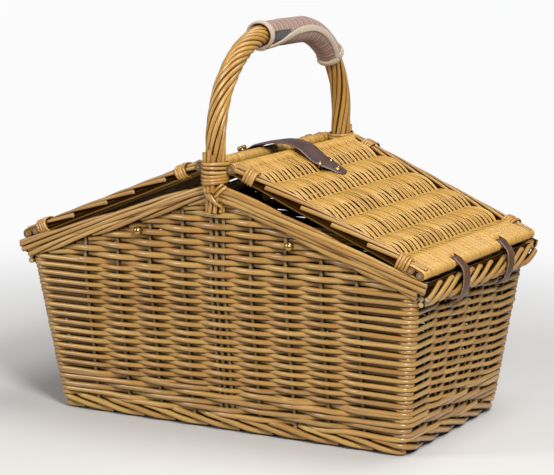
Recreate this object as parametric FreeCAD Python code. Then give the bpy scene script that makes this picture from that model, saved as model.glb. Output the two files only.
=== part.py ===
import FreeCAD, Part
import math
import os

# Gabled willow picnic basket with two lids, a fixed hoop handle and a leather closure strap.
# Millimetres. +Z up, +X along the long side (lids hinge at -X and +X), -Y is the front wall.
# Origin: centre of the base, on the surface that the basket stands on.

# ---- driving dimensions -------------------------------------------------------------------
BASE_LEN = 421.0          # outer length at z = 0
BASE_WID = 235.3          # outer width at z = 0
END_FLARE = 0.1178        # outward lean of the end walls, mm per mm of height
SIDE_FLARE = 0.1674       # outward lean of the front and back walls
WALL_T = 12.0             # weave thickness, rods passing both sides of the stakes
FOOT_H = 15.0             # foot border height
WALE_TOP = 44.0           # top of the heavy band above the foot
WALL_TOP = 167.0          # top of the end walls
STAKE_D = 5.0
STAKE_PITCH_LONG = 40.5
STAKES_LONG = 9
STAKE_YS = (-91.5, -55.0, -18.3, 18.3, 55.0, 91.5)
POST_D = 8.0

BORDER_HALF_L = 244.5     # outer half length of the top border
BORDER_Y_OUT = 151.0      # outer half width of the gable border
BORDER_Y_IN = 137.0
GABLE_PEAK = 270.3        # top of the gable border on the centre line
GABLE_SLOPE = 0.351
BORDER_H = 13.5
GABLE_WALE_H = 7.0
SIDE_BORDER_IN = 229.9
SIDE_BORDER_OUT = 244.0
SIDE_BORDER_TOP = 186.5
SIDE_BORDER_BOT = 160.0

RIDGE_X = 18.5            # centre of each lid's inner stick
RIDGE_Z = 285.2
HINGE_X = 233.6           # centre of the outermost stick: the lid's hinge axis
HINGE_Z = 196.1
LID_HALF_W = 146.0        # half length of the lid's sticks
PANEL_HALF_W = 129.0
PANEL_LOW = -5.0
PANEL_HIGH = 6.0
RIB_POS = (20.0, 60.0, 101.0, 142.0, 184.0)
RIB_D = 8.5
INNER_D = 9.5
OUTER_D = 8.0
OUTER_PITCH = (10.9, 9.2)
BUNDLE_W = 16.0
BUNDLE_LOW = -6.0
BUNDLE_HIGH = 7.5
LOOP_Y = 59.0             # centre of each hinge loop
LOOP_W = 16.0
LOOP_T = 1.6

STRAP_W = 38.0
STRAP_T = 2.0
STRAP_END = 62.0          # rounded end on the right lid, along the slope
STRAP_BREAK = 26.0        # where the fixed part ends and the free flap begins
ARCH_Z = 299.0            # mid-thickness of the strap over the ridge
LOCK_S = 28.0             # turn-lock, along the slope of the left lid
TIP_S = 44.5

HOOP_Y = 143.0
HOOP_CORE_R = 6.0
HOOP_R = 10.8
HOOP_BOTTOM = 252.0
HOOP_TOP = 417.0          # centre of the hoop's section at the top
GRIP_R = 15.0
GRIP_FRONT = -48.0        # front end of the fabric grip, along Y
GRIP_BACK = 46.0          # its back end: angle on the hoop's back shoulder, degrees
GRIP_TAPE = 4.0           # bound edge at each end
COLLAR_R = 12.6
STUD_X = 90.0
STUD_Z = 213.0
STUD_D = 9.6

PITCH = math.degrees(math.atan2(RIDGE_Z - HINGE_Z, HINGE_X - RIDGE_X))
SLOPE_LEN = math.hypot(RIDGE_Z - HINGE_Z, HINGE_X - RIDGE_X)
V = FreeCAD.Vector


def end_x(z):
    return BASE_LEN / 2 + END_FLARE * z


def side_y(z):
    """Front and back walls lean out up to the wall top; the gables above stand upright."""
    return BASE_WID / 2 + SIDE_FLARE * min(z, WALL_TOP)


def poly_solid(rings):
    """A closed solid from two matching rings of points: side faces plus two caps."""
    a, b = rings
    n = len(a)
    faces = [Part.Face(Part.makePolygon(a + [a[0]])), Part.Face(Part.makePolygon(b + [b[0]]))]
    for i in range(n):
        j = (i + 1) % n
        faces.append(Part.Face(Part.makePolygon([a[i], a[j], b[j], b[i], a[i]])))
    s = Part.Solid(Part.makeShell(faces))
    if s.Volume < 0:
        s.reverse()
    return s


def box(x0, x1, y0, y1, z0, z1):
    return Part.makeBox(x1 - x0, y1 - y0, z1 - z0, V(x0, y0, z0))


def rod(p, q, r):
    p, q = V(*p), V(*q)
    return Part.makeCylinder(r, (q - p).Length, p, q - p)


def cut(a, tools):
    for t in tools:
        a = a.cut(t)
    return a


def solids(items):
    out = []
    for s in items:
        out.extend(s.Solids)
    return Part.makeCompound(out)


def band(points, half_t, y0, y1):
    """A strip of thickness 2*half_t that follows a line of (x, z) points, from y0 to y1."""
    n = len(points)
    up, dn = [], []
    for i in range(n):
        ax, az = points[max(i - 1, 0)]
        bx, bz = points[min(i + 1, n - 1)]
        d = math.hypot(bx - ax, bz - az)
        nx, nz = -(bz - az) / d, (bx - ax) / d
        x, z = points[i]
        up.append(V(x + nx * half_t, y0, z + nz * half_t))
        dn.append(V(x - nx * half_t, y0, z - nz * half_t))
    ring = up + dn[::-1]
    return Part.Face(Part.makePolygon(ring + [ring[0]])).extrude(V(0, y1 - y0, 0))


def curve(points, steps):
    """Points along a smooth line through the given (x, z) points."""
    out = []
    for i in range(len(points) - 1):
        p0, p1 = points[max(i - 1, 0)], points[i]
        p2, p3 = points[i + 1], points[min(i + 2, len(points) - 1)]
        for j in range(steps):
            t = j / steps
            out.append(tuple(0.5 * ((2 * b) + (-a + c) * t + (2 * a - 5 * b + 4 * c - d) * t * t
                                    + (-a + 3 * b - 3 * c + d) * t ** 3)
                             for a, b, c, d in zip(p0, p1, p2, p3)))
    out.append(tuple(points[-1]))
    return out


def slope_xz(s, n, side):
    """World (x, z) of a point s down the slope from the inner stick and n above the stick line."""
    c, k = math.cos(math.radians(PITCH)), math.sin(math.radians(PITCH))
    return (side * (RIDGE_X + s * c + n * k), RIDGE_Z - s * k + n * c)


def on_right(shape):
    """Places a shape built with x = down-slope, y = y, z = normal on the right lid's plane."""
    s = shape.copy()
    s.rotate(V(0, 0, 0), V(0, 1, 0), PITCH)
    s.translate(V(RIDGE_X, 0, RIDGE_Z))
    return s


def on_left(shape):
    s = on_right(shape)
    s.rotate(V(0, 0, 0), V(0, 0, 1), 180)
    return s


nodes = {}

# ---- base ----------------------------------------------------------------------------------
stick_ys = (-78.0, -39.0, 0.0, 39.0, 78.0)
base_sticks = [rod((-192, y, 11.0), (192, y, 11.0), 3.5) for y in stick_ys]
base = box(-194, 194, -104, 104, 6.0, 16.0)
nodes["base_sticks"] = solids(base_sticks)
nodes["base_weave"] = cut(base, base_sticks)


def ring_walls(z0, z1, t):
    """Four butted wall pieces between two heights, following the flare. Front, back, left, right."""
    out = []
    for sy in (-1, 1):
        a = [V(-end_x(z0), sy * side_y(z0), z0), V(end_x(z0), sy * side_y(z0), z0),
             V(end_x(z1), sy * side_y(z1), z1), V(-end_x(z1), sy * side_y(z1), z1)]
        b = [p - V(0, sy * t, 0) for p in a]
        out.append(poly_solid([a, b]))
    for sx in (-1, 1):
        a = [V(sx * end_x(z0), -(side_y(z0) - t), z0), V(sx * end_x(z0), side_y(z0) - t, z0),
             V(sx * end_x(z1), side_y(z1) - t, z1), V(sx * end_x(z1), -(side_y(z1) - t), z1)]
        b = [p - V(sx * t, 0, 0) for p in a]
        out.append(poly_solid([a, b]))
    return out


# ---- stakes and posts ------------------------------------------------------------------------
def gable_top(x):
    return GABLE_PEAK - GABLE_SLOPE * abs(x)


def stake_long(x, sy):
    zt = gable_top(x) - BORDER_H - GABLE_WALE_H - 1.4
    z0 = FOOT_H + 0.6
    m = side_y(WALL_TOP) - WALL_T / 2
    low = rod((x, sy * (side_y(z0) - WALL_T / 2), z0), (x, sy * m, WALL_TOP), STAKE_D / 2)
    if zt < WALL_TOP + 3:
        return low
    knee = Part.makeSphere(STAKE_D / 2 + 0.05, V(x, sy * m, WALL_TOP))
    return low.fuse(knee).fuse(rod((x, sy * m, WALL_TOP), (x, sy * m, zt), STAKE_D / 2)).removeSplitter()


def stake_short(y, sx):
    z0, z1 = FOOT_H + 0.6, WALL_TOP - 0.5
    k = side_y(z1) / side_y(z0)
    return rod((sx * (end_x(z0) - WALL_T / 2), y / k ** 0.5, z0),
               (sx * (end_x(z1) - WALL_T / 2), y * k ** 0.5, z1), STAKE_D / 2)


xs = [STAKE_PITCH_LONG * (i - (STAKES_LONG - 1) / 2) for i in range(STAKES_LONG)]
stakes = {
    "front_stakes": [stake_long(x, -1) for x in xs],
    "back_stakes": [stake_long(x, 1) for x in xs],
    "left_stakes": [stake_short(y, -1) for y in STAKE_YS],
    "right_stakes": [stake_short(y, 1) for y in STAKE_YS],
}
posts = []
for sx in (-1, 1):
    for sy in (-1, 1):
        z0, z1 = FOOT_H + 1.2, WALL_TOP - 2.5
        m = WALL_T / 2
        posts.append(rod((sx * (end_x(z0) - m), sy * (side_y(z0) - m), z0),
                         (sx * (end_x(z1) - m), sy * (side_y(z1) - m), z1), POST_D / 2))
for k, v in stakes.items():
    nodes[k] = solids(v)
nodes["corner_posts"] = solids(posts)

# ---- foot, bottom wale and walls -----------------------------------------------------------------
nodes["foot_border"] = solids(ring_walls(0.0, FOOT_H, WALL_T))
wale = ring_walls(FOOT_H, WALE_TOP, WALL_T)
every = stakes["front_stakes"], stakes["back_stakes"], stakes["left_stakes"], stakes["right_stakes"]
nodes["bottom_wale"] = solids([cut(w, list(e) + posts) for w, e in zip(wale, every)])


def gable_wall(sy):
    z0 = WALE_TOP
    off = BORDER_H + GABLE_WALE_H
    xe = end_x(WALL_TOP)
    ze = max(gable_top(xe) - off, WALL_TOP + 0.5)
    low = [(-end_x(z0), z0), (end_x(z0), z0), (xe, WALL_TOP), (-xe, WALL_TOP)]
    high = [(-xe, WALL_TOP), (xe, WALL_TOP), (xe, ze), (0.0, gable_top(0) - off), (-xe, ze)]
    made = []
    for pts in (low, high):
        a = [V(x, sy * side_y(z), z) for x, z in pts]
        b = [p - V(0, sy * WALL_T, 0) for p in a]
        made.append(poly_solid([a, b]))
    return made[0].fuse(made[1]).removeSplitter()


walls = ring_walls(WALE_TOP, WALL_TOP, WALL_T)

# ---- ball-head studs through the front and back walls ------------------------------------------
studs, washers, nuts, stud_holes = [], [], [], []
for sy in (-1, 1):
    for x in (-STUD_X, STUD_X):
        yo = side_y(STUD_Z)
        head = Part.makeSphere(STUD_D / 2, V(x, sy * (yo + 4.6), STUD_Z))
        neck = rod((x, sy * (yo - WALL_T - 6.0), STUD_Z), (x, sy * (yo + 4.0), STUD_Z), 2.0)
        flange = rod((x, sy * (yo + 0.9), STUD_Z), (x, sy * (yo + 1.9), STUD_Z), 4.2)
        studs.append(head.fuse(neck).fuse(flange))
        stud_holes.append(neck)
        w = rod((x, sy * (yo - WALL_T - 1.2), STUD_Z), (x, sy * (yo - WALL_T - 2.4), STUD_Z), 6.0)
        washers.append(w.cut(neck))
        ax = V(x, sy * (yo - WALL_T - 2.4), STUD_Z)
        pts = [ax + V(3.8 * math.cos(math.radians(a)), 0, 3.8 * math.sin(math.radians(a))) for a in range(0, 360, 60)]
        nut = Part.Face(Part.makePolygon(pts + [pts[0]])).extrude(V(0, -sy * 2.6, 0))
        nuts.append(nut.cut(neck))
nodes["ball_studs"] = solids(studs)
nodes["stud_washers"] = solids(washers)
nodes["stud_nuts"] = solids(nuts)

nodes["front_wall_weave"] = cut(gable_wall(-1), stakes["front_stakes"] + posts + stud_holes)
nodes["back_wall_weave"] = cut(gable_wall(1), stakes["back_stakes"] + posts + stud_holes)
nodes["left_wall_weave"] = cut(walls[2], stakes["left_stakes"])
nodes["right_wall_weave"] = cut(walls[3], stakes["right_stakes"])

# ---- gable wales and borders --------------------------------------------------------------------
def chevron(sy, lo, hi, xe, y_out, y_in):
    """Inverted V strip between two offsets below the gable line."""
    pts = [(-xe, gable_top(xe) - hi), (0, GABLE_PEAK - hi), (xe, gable_top(xe) - hi),
           (xe, gable_top(xe) - lo), (0, GABLE_PEAK - lo), (-xe, gable_top(xe) - lo)]
    f = Part.Face(Part.makePolygon([V(x, sy * y_in, z) for x, z in pts + [pts[0]]]))
    return f.extrude(V(0, sy * (y_out - y_in), 0))


# ---- handle ----------------------------------------------------------------------------------------
def arc_point(c, r, deg):
    return V(0, c[0] + r * math.cos(math.radians(deg)), c[1] + r * math.sin(math.radians(deg)))


P1, P2 = (HOOP_Y, 345.0), (92.0, HOOP_TOP)
R1, R2 = 95.0, 110.0
run = math.hypot(P2[0] - P1[0], P2[1] - P1[1])
ux, uz = (P2[0] - P1[0]) / run, (P2[1] - P1[1]) / run
turn1 = math.degrees(math.acos(uz))
turn2 = 90.0 - turn1
t1 = R1 * math.tan(math.radians(turn1 / 2))
t2 = R2 * math.tan(math.radians(turn2 / 2))
C1 = (HOOP_Y - R1, P1[1] - t1)
C2 = (P2[0] - t2, HOOP_TOP - R2)


def hoop_edges(z_start, mirror_too=True):
    e = []
    e.append(Part.makeLine(V(0, HOOP_Y, z_start), V(0, HOOP_Y, C1[1])))
    e.append(Part.Arc(arc_point(C1, R1, 0), arc_point(C1, R1, turn1 / 2), arc_point(C1, R1, turn1)).toShape())
    e.append(Part.makeLine(arc_point(C1, R1, turn1), arc_point(C2, R2, turn1)))
    e.append(Part.Arc(arc_point(C2, R2, turn1), arc_point(C2, R2, (turn1 + 90) / 2), arc_point(C2, R2, 90)).toShape())
    e.append(Part.makeLine(V(0, C2[0], HOOP_TOP), V(0, -C2[0], HOOP_TOP)))
    m = (-C2[0], C2[1])
    e.append(Part.Arc(arc_point(m, R2, 90), arc_point(m, R2, 90 + turn2 / 2), arc_point(m, R2, 90 + turn2)).toShape())
    m1 = (-C1[0], C1[1])
    e.append(Part.makeLine(arc_point(m, R2, 90 + turn2), arc_point(m1, R1, 180 - turn1)))
    e.append(Part.Arc(arc_point(m1, R1, 180 - turn1), arc_point(m1, R1, 180 - turn1 / 2), arc_point(m1, R1, 180)).toShape())
    e.append(Part.makeLine(V(0, -HOOP_Y, C1[1]), V(0, -HOOP_Y, z_start)))
    return e


def pipe(r, z_start):
    w = Part.Wire(hoop_edges(z_start))
    c = Part.Wire(Part.Circle(V(0, HOOP_Y, z_start), V(0, 0, 1), r).toShape())
    return w.makePipeShell([c], True, True)


core = pipe(HOOP_CORE_R, HOOP_BOTTOM)
outer = pipe(HOOP_R, HOOP_BOTTOM + 0.0)
grip_outer = pipe(GRIP_R, HOOP_BOTTOM)
hoop_hole = pipe(HOOP_R, HOOP_BOTTOM)
nodes["handle_bow"] = core
nodes["handle_wrap"] = outer.cut(core)


def hoop_slice(y_lo, y_hi, deg_lo, deg_hi):
    """Part of the hoop's space: from y_lo to y_hi on the front, or between two angles of the back shoulder."""
    def ray(d):
        return (C2[0] + 230.0 * math.cos(math.radians(d)), C2[1] + 230.0 * math.sin(math.radians(d)))
    if deg_lo is None:
        pts = [(y_lo, C2[1]), (y_lo, 470.0), (y_hi, 470.0), (y_hi, C2[1])]
    elif y_lo is None:
        pts = [C2, ray(deg_hi), ray(deg_lo)]
    else:
        far = ray(deg_lo)
        pts = [(y_lo, C2[1]), (y_lo, 480.0), (far[0], 480.0), far, C2]
    f = Part.Face(Part.makePolygon([V(-40, y, z) for y, z in pts + [pts[0]]]))
    return f.extrude(V(80, 0, 0))


nodes["grip_sleeve"] = grip_outer.common(hoop_slice(GRIP_FRONT, None, GRIP_BACK, None)).cut(hoop_hole)
tape_pipe = pipe(GRIP_R - 1.0, HOOP_BOTTOM)
piping = [tape_pipe.common(hoop_slice(GRIP_FRONT - GRIP_TAPE, GRIP_FRONT, None, None)).cut(hoop_hole),
          tape_pipe.common(hoop_slice(None, None, GRIP_BACK - 2.2, GRIP_BACK)).cut(hoop_hole)]
nodes["grip_piping"] = solids(piping)
nodes["grip_patch"] = pipe(GRIP_R + 1.5, HOOP_BOTTOM).common(box(6, 30, -42, -8, 380, 425)).cut(grip_outer)

legs = [rod((0, sy * HOOP_Y, 240), (0, sy * HOOP_Y, 300), HOOP_R) for sy in (-1, 1)]
nodes["handle_collars"] = solids([rod((0, sy * HOOP_Y, 271.5), (0, sy * HOOP_Y, 291.5), COLLAR_R).cut(legs[0]).cut(legs[1])
                                  for sy in (-1, 1)])
pegs = []
for sy in (-1, 1):
    for i, x in enumerate((-4.8, 0.0, 4.8)):
        pegs.append(rod((x, sy * (HOOP_Y + COLLAR_R + 2.2), 268.0), (x, sy * (HOOP_Y + COLLAR_R + 2.2), 301.0 - abs(x)), 2.2))
nodes["handle_pegs"] = solids(pegs)

# gable pieces are cleared for the handle legs, the pegs and the leather loops
front_border = cut(chevron(-1, 0.0, BORDER_H, BORDER_HALF_L, BORDER_Y_OUT, BORDER_Y_IN), legs)
back_border = cut(chevron(1, 0.0, BORDER_H, BORDER_HALF_L, BORDER_Y_OUT, BORDER_Y_IN), legs)
front_gwale = cut(chevron(-1, BORDER_H, BORDER_H + GABLE_WALE_H, 238.0, BORDER_Y_OUT, BORDER_Y_IN), legs)
back_gwale = cut(chevron(1, BORDER_H, BORDER_H + GABLE_WALE_H, 238.0, BORDER_Y_OUT, BORDER_Y_IN), legs)
nodes["front_gable_border"] = front_border
nodes["back_gable_border"] = back_border
nodes["front_gable_wale"] = cut(front_gwale, [nodes["front_wall_weave"]])
nodes["back_gable_wale"] = cut(back_gwale, [nodes["back_wall_weave"]])
bind = []
for sy in (-1, 1):
    y0, y1 = sorted((sy * (BORDER_Y_OUT + 0.2), sy * (HOOP_Y + HOOP_R + 1.6)))
    bind.append(box(-9, 9, y0, y1, 244.0, 267.0).cut(legs[0]).cut(legs[1]))
nodes["gable_bindings"] = solids(bind)

for name, sx, wall in (("left_side_border", -1, "left_wall_weave"), ("right_side_border", 1, "right_wall_weave")):
    x0, x1 = sorted((sx * SIDE_BORDER_IN, sx * SIDE_BORDER_OUT))
    b = box(x0, x1, -BORDER_Y_IN, BORDER_Y_IN, SIDE_BORDER_BOT, SIDE_BORDER_TOP)
    nodes[name] = cut(b, [nodes[wall], nodes["front_wall_weave"], nodes["back_wall_weave"]])

# ---- leather hinge loops: over the outermost stick, down both sides of the end border -------------
def hinge_loop(sx, y):
    r = OUTER_D / 2 + 0.2 + LOOP_T / 2
    pts = [(HINGE_X - r, 167.4), (HINGE_X - r, 180.0), (HINGE_X - r, HINGE_Z - 2)]
    for a in range(180, 29, -15):
        pts.append((HINGE_X + r * math.cos(math.radians(a)), HINGE_Z + r * math.sin(math.radians(a))))
    pts += [(241.0, 196.2), (244.0, 192.6), (245.6, 188.0), (246.0, 182.0), (245.6, 174.0), (243.4, 166.0), (238.6, 158.6), (230.6, 154.6)]
    pts = [(sx * x, z) for x, z in pts]
    if sx < 0:
        pts = pts[::-1]
    return band(pts, LOOP_T / 2, y - LOOP_W / 2, y + LOOP_W / 2)


for name, sx, wall in (("left_hinge_loops", -1, "left_wall_weave"), ("right_hinge_loops", 1, "right_wall_weave")):
    loops = [hinge_loop(sx, y) for y in (-LOOP_Y, LOOP_Y)]
    nodes[name] = solids([cut(l, [nodes[wall]]) for l in loops])
    side = name.split("_")[0] + "_side_border"
    nodes[side] = cut(nodes[side], loops)

# ---- lids --------------------------------------------------------------------------------------------
s1 = SLOPE_LEN
s2 = s1 - OUTER_PITCH[0]
s3 = s2 - OUTER_PITCH[1]


def lid_stick(s, d, half=LID_HALF_W):
    return rod((s, -half, 0), (s, half, 0), d / 2)


inner = lid_stick(0, INNER_D)
outers = [lid_stick(s, OUTER_D) for s in (s1, s2, s3)]
ribs = [lid_stick(s, RIB_D, PANEL_HALF_W) for s in RIB_POS]
panel = cut(box(0.0, s3, -PANEL_HALF_W, PANEL_HALF_W, PANEL_LOW, PANEL_HIGH), [inner] + outers + ribs)
bundles = []
for sy in (-1, 1):
    y0, y1 = sorted((sy * PANEL_HALF_W, sy * (PANEL_HALF_W + BUNDLE_W)))
    b = box(1.5, s1 + 2.0, y0, y1, BUNDLE_LOW, BUNDLE_HIGH)
    bundles.append(cut(b.makeChamfer(2.5, [e for e in b.Edges if abs(e.Vertexes[0].X - e.Vertexes[1].X) > 50]),
                       [inner] + outers))
lashings = []
for sy in (-1, 1):
    for s in (16.0, 205.0):
        y0, y1 = sorted((sy * (PANEL_HALF_W - 0.2), sy * (PANEL_HALF_W + BUNDLE_W + 1.4)))
        ring = box(s, s + 12, y0, y1, BUNDLE_LOW - 0.4, BUNDLE_HIGH + 2.0)
        lashings.append(cut(ring, bundles + outers + ribs + [panel]))
lid = {
    "inner_stick": inner, "outer_sticks": solids(outers), "ribs": solids(ribs),
    "side_bundles": solids(bundles), "lashings": solids(lashings),
}

# closure strap fixed part, rivets and burrs on the right lid
rivets = [(35.0, -13.0, 3.5), (35.0, 13.0, 3.5), (51.0, 0.0, 5.2)]
edge = []
for s, w in ((STRAP_BREAK, 19.0), (31.0, 19.0), (36.0, 18.4), (41.0, 16.0), (46.0, 13.6), (50.0, 12.5)):
    edge.append((s, w))
for a in (75, 60, 45, 30, 15):
    edge.append((STRAP_END - 12.5 + 12.5 * math.cos(math.radians(a)), 12.5 * math.sin(math.radians(a))))
outline = [V(s, w, PANEL_HIGH) for s, w in edge] + [V(STRAP_END, 0, PANEL_HIGH)] + [V(s, -w, PANEL_HIGH) for s, w in edge[::-1]]
strap = Part.Face(Part.makePolygon(outline + [outline[0]])).extrude(V(0, 0, STRAP_T))
shanks, rivet_solids, burrs = [], [], []
for s, y, r in rivets:
    shank = rod((s, y, PANEL_LOW - 2.0), (s, y, PANEL_HIGH + STRAP_T), 1.6)
    shanks.append(shank)
    ball_r = (r * r + 1.8 ** 2) / (2 * 1.8)
    dome = Part.makeSphere(ball_r, V(s, y, PANEL_HIGH + STRAP_T + 1.8 - ball_r)).common(
        box(s - 9, s + 9, y - 9, y + 9, PANEL_HIGH + STRAP_T, PANEL_HIGH + STRAP_T + 3))
    rivet_solids.append(shank.fuse(dome).removeSplitter())
    burrs.append(rod((s, y, PANEL_LOW - 1.2), (s, y, PANEL_LOW), 4.0).cut(shank))

# turn-lock on the left lid: plate on the weave, button on a post
plate = Part.makeCylinder(1, 1.1, V(0, 0, 0))
plate_len, plate_wid = 24.0, 15.0
c1 = Part.makeCylinder(plate_wid / 2, 1.1, V(LOCK_S - (plate_len - plate_wid) / 2, 0, PANEL_HIGH))
c2 = Part.makeCylinder(plate_wid / 2, 1.1, V(LOCK_S + (plate_len - plate_wid) / 2, 0, PANEL_HIGH))
plate = c1.fuse(c2).fuse(box(LOCK_S - (plate_len - plate_wid) / 2, LOCK_S + (plate_len - plate_wid) / 2,
                             -plate_wid / 2, plate_wid / 2, PANEL_HIGH, PANEL_HIGH + 1.1)).removeSplitter()
socket = rod((LOCK_S, 0, PANEL_LOW - 0.5), (LOCK_S, 0, PANEL_HIGH + 1.1), 3.4)
bore = rod((LOCK_S, 0, PANEL_LOW - 0.5), (LOCK_S, 0, PANEL_HIGH + 1.1), 2.05)
plate = plate.fuse(socket).removeSplitter().cut(bore)
post = rod((LOCK_S, 0, PANEL_LOW), (LOCK_S, 0, PANEL_HIGH + 5.0), 2.0)
barrel = rod((LOCK_S - 5.0, 0, PANEL_HIGH + 7.0), (LOCK_S + 5.0, 0, PANEL_HIGH + 7.0), 2.6)
button = post.fuse(barrel).removeSplitter()

right_panel = cut(panel, shanks)
left_panel = cut(panel, [socket])
for side, place, pan in (("left", on_left, left_panel), ("right", on_right, right_panel)):
    for k, shape in lid.items():
        nodes[side + "_lid_" + k] = place(shape)
    nodes[side + "_lid_weave"] = place(pan)
nodes["strap_base"] = on_right(cut(strap, shanks))
nodes["strap_rivets"] = on_right(solids(rivet_solids))
nodes["strap_burrs"] = on_right(solids(burrs))
nodes["turnlock_plate"] = on_left(plate)
nodes["turnlock_button"] = on_left(button)

# ---- free flap of the closure strap: arches over the ridge to the turn-lock --------------------------
slot_lo, slot_hi = LOCK_S - 6.2, LOCK_S + 12.5
mid_n = PANEL_HIGH + 1.1 + 0.4 + STRAP_T / 2
line = [slope_xz(STRAP_BREAK - 0.4, PANEL_HIGH + 1.2, 1), (31.0, 292.6), (17.0, 297.6), (0.0, ARCH_Z), (-14.0, 297.4),
        slope_xz(8.0, 12.2, -1), slope_xz(16.0, mid_n + 0.3, -1), slope_xz(LOCK_S, mid_n, -1), slope_xz(TIP_S, mid_n, -1)]
line = curve(line, 5)
flap = band(line[::-1], STRAP_T / 2, -STRAP_W / 2, STRAP_W / 2)
slot = on_left(box(slot_lo, slot_hi, -3.6, 3.6, PANEL_HIGH - 2, PANEL_HIGH + 14))
tip_trim = []
for sy in (-1, 1):
    corner = box(TIP_S - 11, TIP_S + 5, 8 if sy > 0 else -30, 30 if sy > 0 else -8, -5, 25)
    round_ = Part.makeCylinder(11, 30, V(TIP_S - 11, sy * 8.0, -5))
    tip_trim.append(on_left(corner.cut(round_)))
nodes["strap_flap"] = cut(flap, [slot] + tip_trim)
ey0, ey1 = mid_n + STRAP_T / 2, mid_n + STRAP_T / 2 + 0.8
eyelet = box(slot_lo - 3.0, slot_hi + 2.6, -7.0, 7.0, ey0, ey1)
eyelet = eyelet.makeFillet(5.0, [e for e in eyelet.Edges if abs(e.Vertexes[0].Z - e.Vertexes[1].Z) > 0.5])
eyelet = eyelet.cut(box(slot_lo, slot_hi, -3.6, 3.6, ey0 - 5, ey1 + 5))
nodes["strap_eyelet"] = on_left(eyelet).cut(nodes["strap_flap"])

os.makedirs("parts", exist_ok=True)
for name, shape in nodes.items():
    shape.exportStep("parts/" + name + ".step")
    print(name, "solids", len(shape.Solids), "valid", shape.isValid(), "vol %.0f" % shape.Volume)
print(len(nodes), "nodes; slope", round(PITCH, 3), round(SLOPE_LEN, 2))
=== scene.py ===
import bpy, math
import numpy as np
from mathutils import Vector, Matrix


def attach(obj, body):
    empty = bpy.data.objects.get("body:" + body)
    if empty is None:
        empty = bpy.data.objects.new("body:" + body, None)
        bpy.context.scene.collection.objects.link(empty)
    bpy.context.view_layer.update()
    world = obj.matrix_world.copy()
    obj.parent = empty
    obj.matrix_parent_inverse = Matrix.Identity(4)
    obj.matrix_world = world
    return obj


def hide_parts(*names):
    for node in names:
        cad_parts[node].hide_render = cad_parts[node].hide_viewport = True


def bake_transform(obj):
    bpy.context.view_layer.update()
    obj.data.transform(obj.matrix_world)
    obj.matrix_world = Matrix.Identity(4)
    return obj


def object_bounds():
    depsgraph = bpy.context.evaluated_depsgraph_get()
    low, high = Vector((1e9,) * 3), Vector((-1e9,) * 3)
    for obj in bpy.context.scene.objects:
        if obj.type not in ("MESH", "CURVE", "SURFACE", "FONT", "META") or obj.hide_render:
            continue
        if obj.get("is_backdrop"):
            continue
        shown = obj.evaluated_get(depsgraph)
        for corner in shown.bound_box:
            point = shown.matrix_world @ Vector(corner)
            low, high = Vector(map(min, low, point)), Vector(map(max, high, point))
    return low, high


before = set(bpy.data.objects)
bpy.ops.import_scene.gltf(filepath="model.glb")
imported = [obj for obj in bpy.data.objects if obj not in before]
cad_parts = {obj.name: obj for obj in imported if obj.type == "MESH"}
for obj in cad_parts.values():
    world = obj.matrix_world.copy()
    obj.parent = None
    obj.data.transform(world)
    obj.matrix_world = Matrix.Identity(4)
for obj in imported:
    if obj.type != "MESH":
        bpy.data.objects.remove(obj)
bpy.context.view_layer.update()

rng = np.random.default_rng(20)
MM = 0.001

# ---------------------------------------------------------------- camera
AZ, EL, DIST, ROLL = math.radians(28.27), math.radians(9.99), 2.3613, math.radians(0.54)
TARGET = np.array([-0.00201, -0.00466, 0.19194])
back = np.array([math.sin(AZ) * math.cos(EL), -math.cos(AZ) * math.cos(EL), math.sin(EL)])
cx_ = np.cross([0, 0, 1], back); cx_ /= np.linalg.norm(cx_)
cy_ = np.cross(back, cx_)
x2 = math.cos(ROLL) * cx_ + math.sin(ROLL) * cy_
y2 = -math.sin(ROLL) * cx_ + math.cos(ROLL) * cy_
loc = TARGET + back * DIST
cam_data = bpy.data.cameras.new("camera")
cam_data.sensor_fit = "HORIZONTAL"
cam_data.sensor_width = 36.0
cam_data.lens = 36.0 * 2163.25 / 554.0
cam_data.clip_end = 20
cam = bpy.data.objects.new("camera", cam_data)
bpy.context.scene.collection.objects.link(cam)
M = Matrix.Identity(4)
for i in range(3):
    M[i][0], M[i][1], M[i][2], M[i][3] = x2[i], y2[i], back[i], loc[i]
cam.matrix_world = M
bpy.context.scene.camera = cam

# ---------------------------------------------------------------- dimensions (mm)
BASE_LEN, BASE_WID, END_FLARE, SIDE_FLARE = 421.0, 235.3, 0.1178, 0.1674
WALL_TOP, WALL_T, FOOT_H, WALE_TOP = 167.0, 12.0, 15.0, 44.0
GABLE_PEAK, GABLE_SLOPE, BORDER_H, GWALE_H = 270.3, 0.351, 13.5, 7.0
RIDGE_X, RIDGE_Z, HINGE_X, HINGE_Z = 18.5, 285.2, 233.6, 196.1
PITCH = math.atan2(RIDGE_Z - HINGE_Z, HINGE_X - RIDGE_X)
SLOPE = math.hypot(RIDGE_Z - HINGE_Z, HINGE_X - RIDGE_X)
CP, SP = math.cos(PITCH), math.sin(PITCH)
S1 = SLOPE; S2 = S1 - 10.9; S3 = S2 - 9.2
RIBS = [20.0, 60.0, 101.0, 142.0, 184.0]
HOOP_Y, HOOP_TOP = 143.0, 417.0


def end_x(z): return BASE_LEN / 2 + END_FLARE * z
def side_y(z): return BASE_WID / 2 + SIDE_FLARE * np.minimum(z, WALL_TOP)
def gable_top(x): return GABLE_PEAK - GABLE_SLOPE * np.abs(x)


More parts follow.
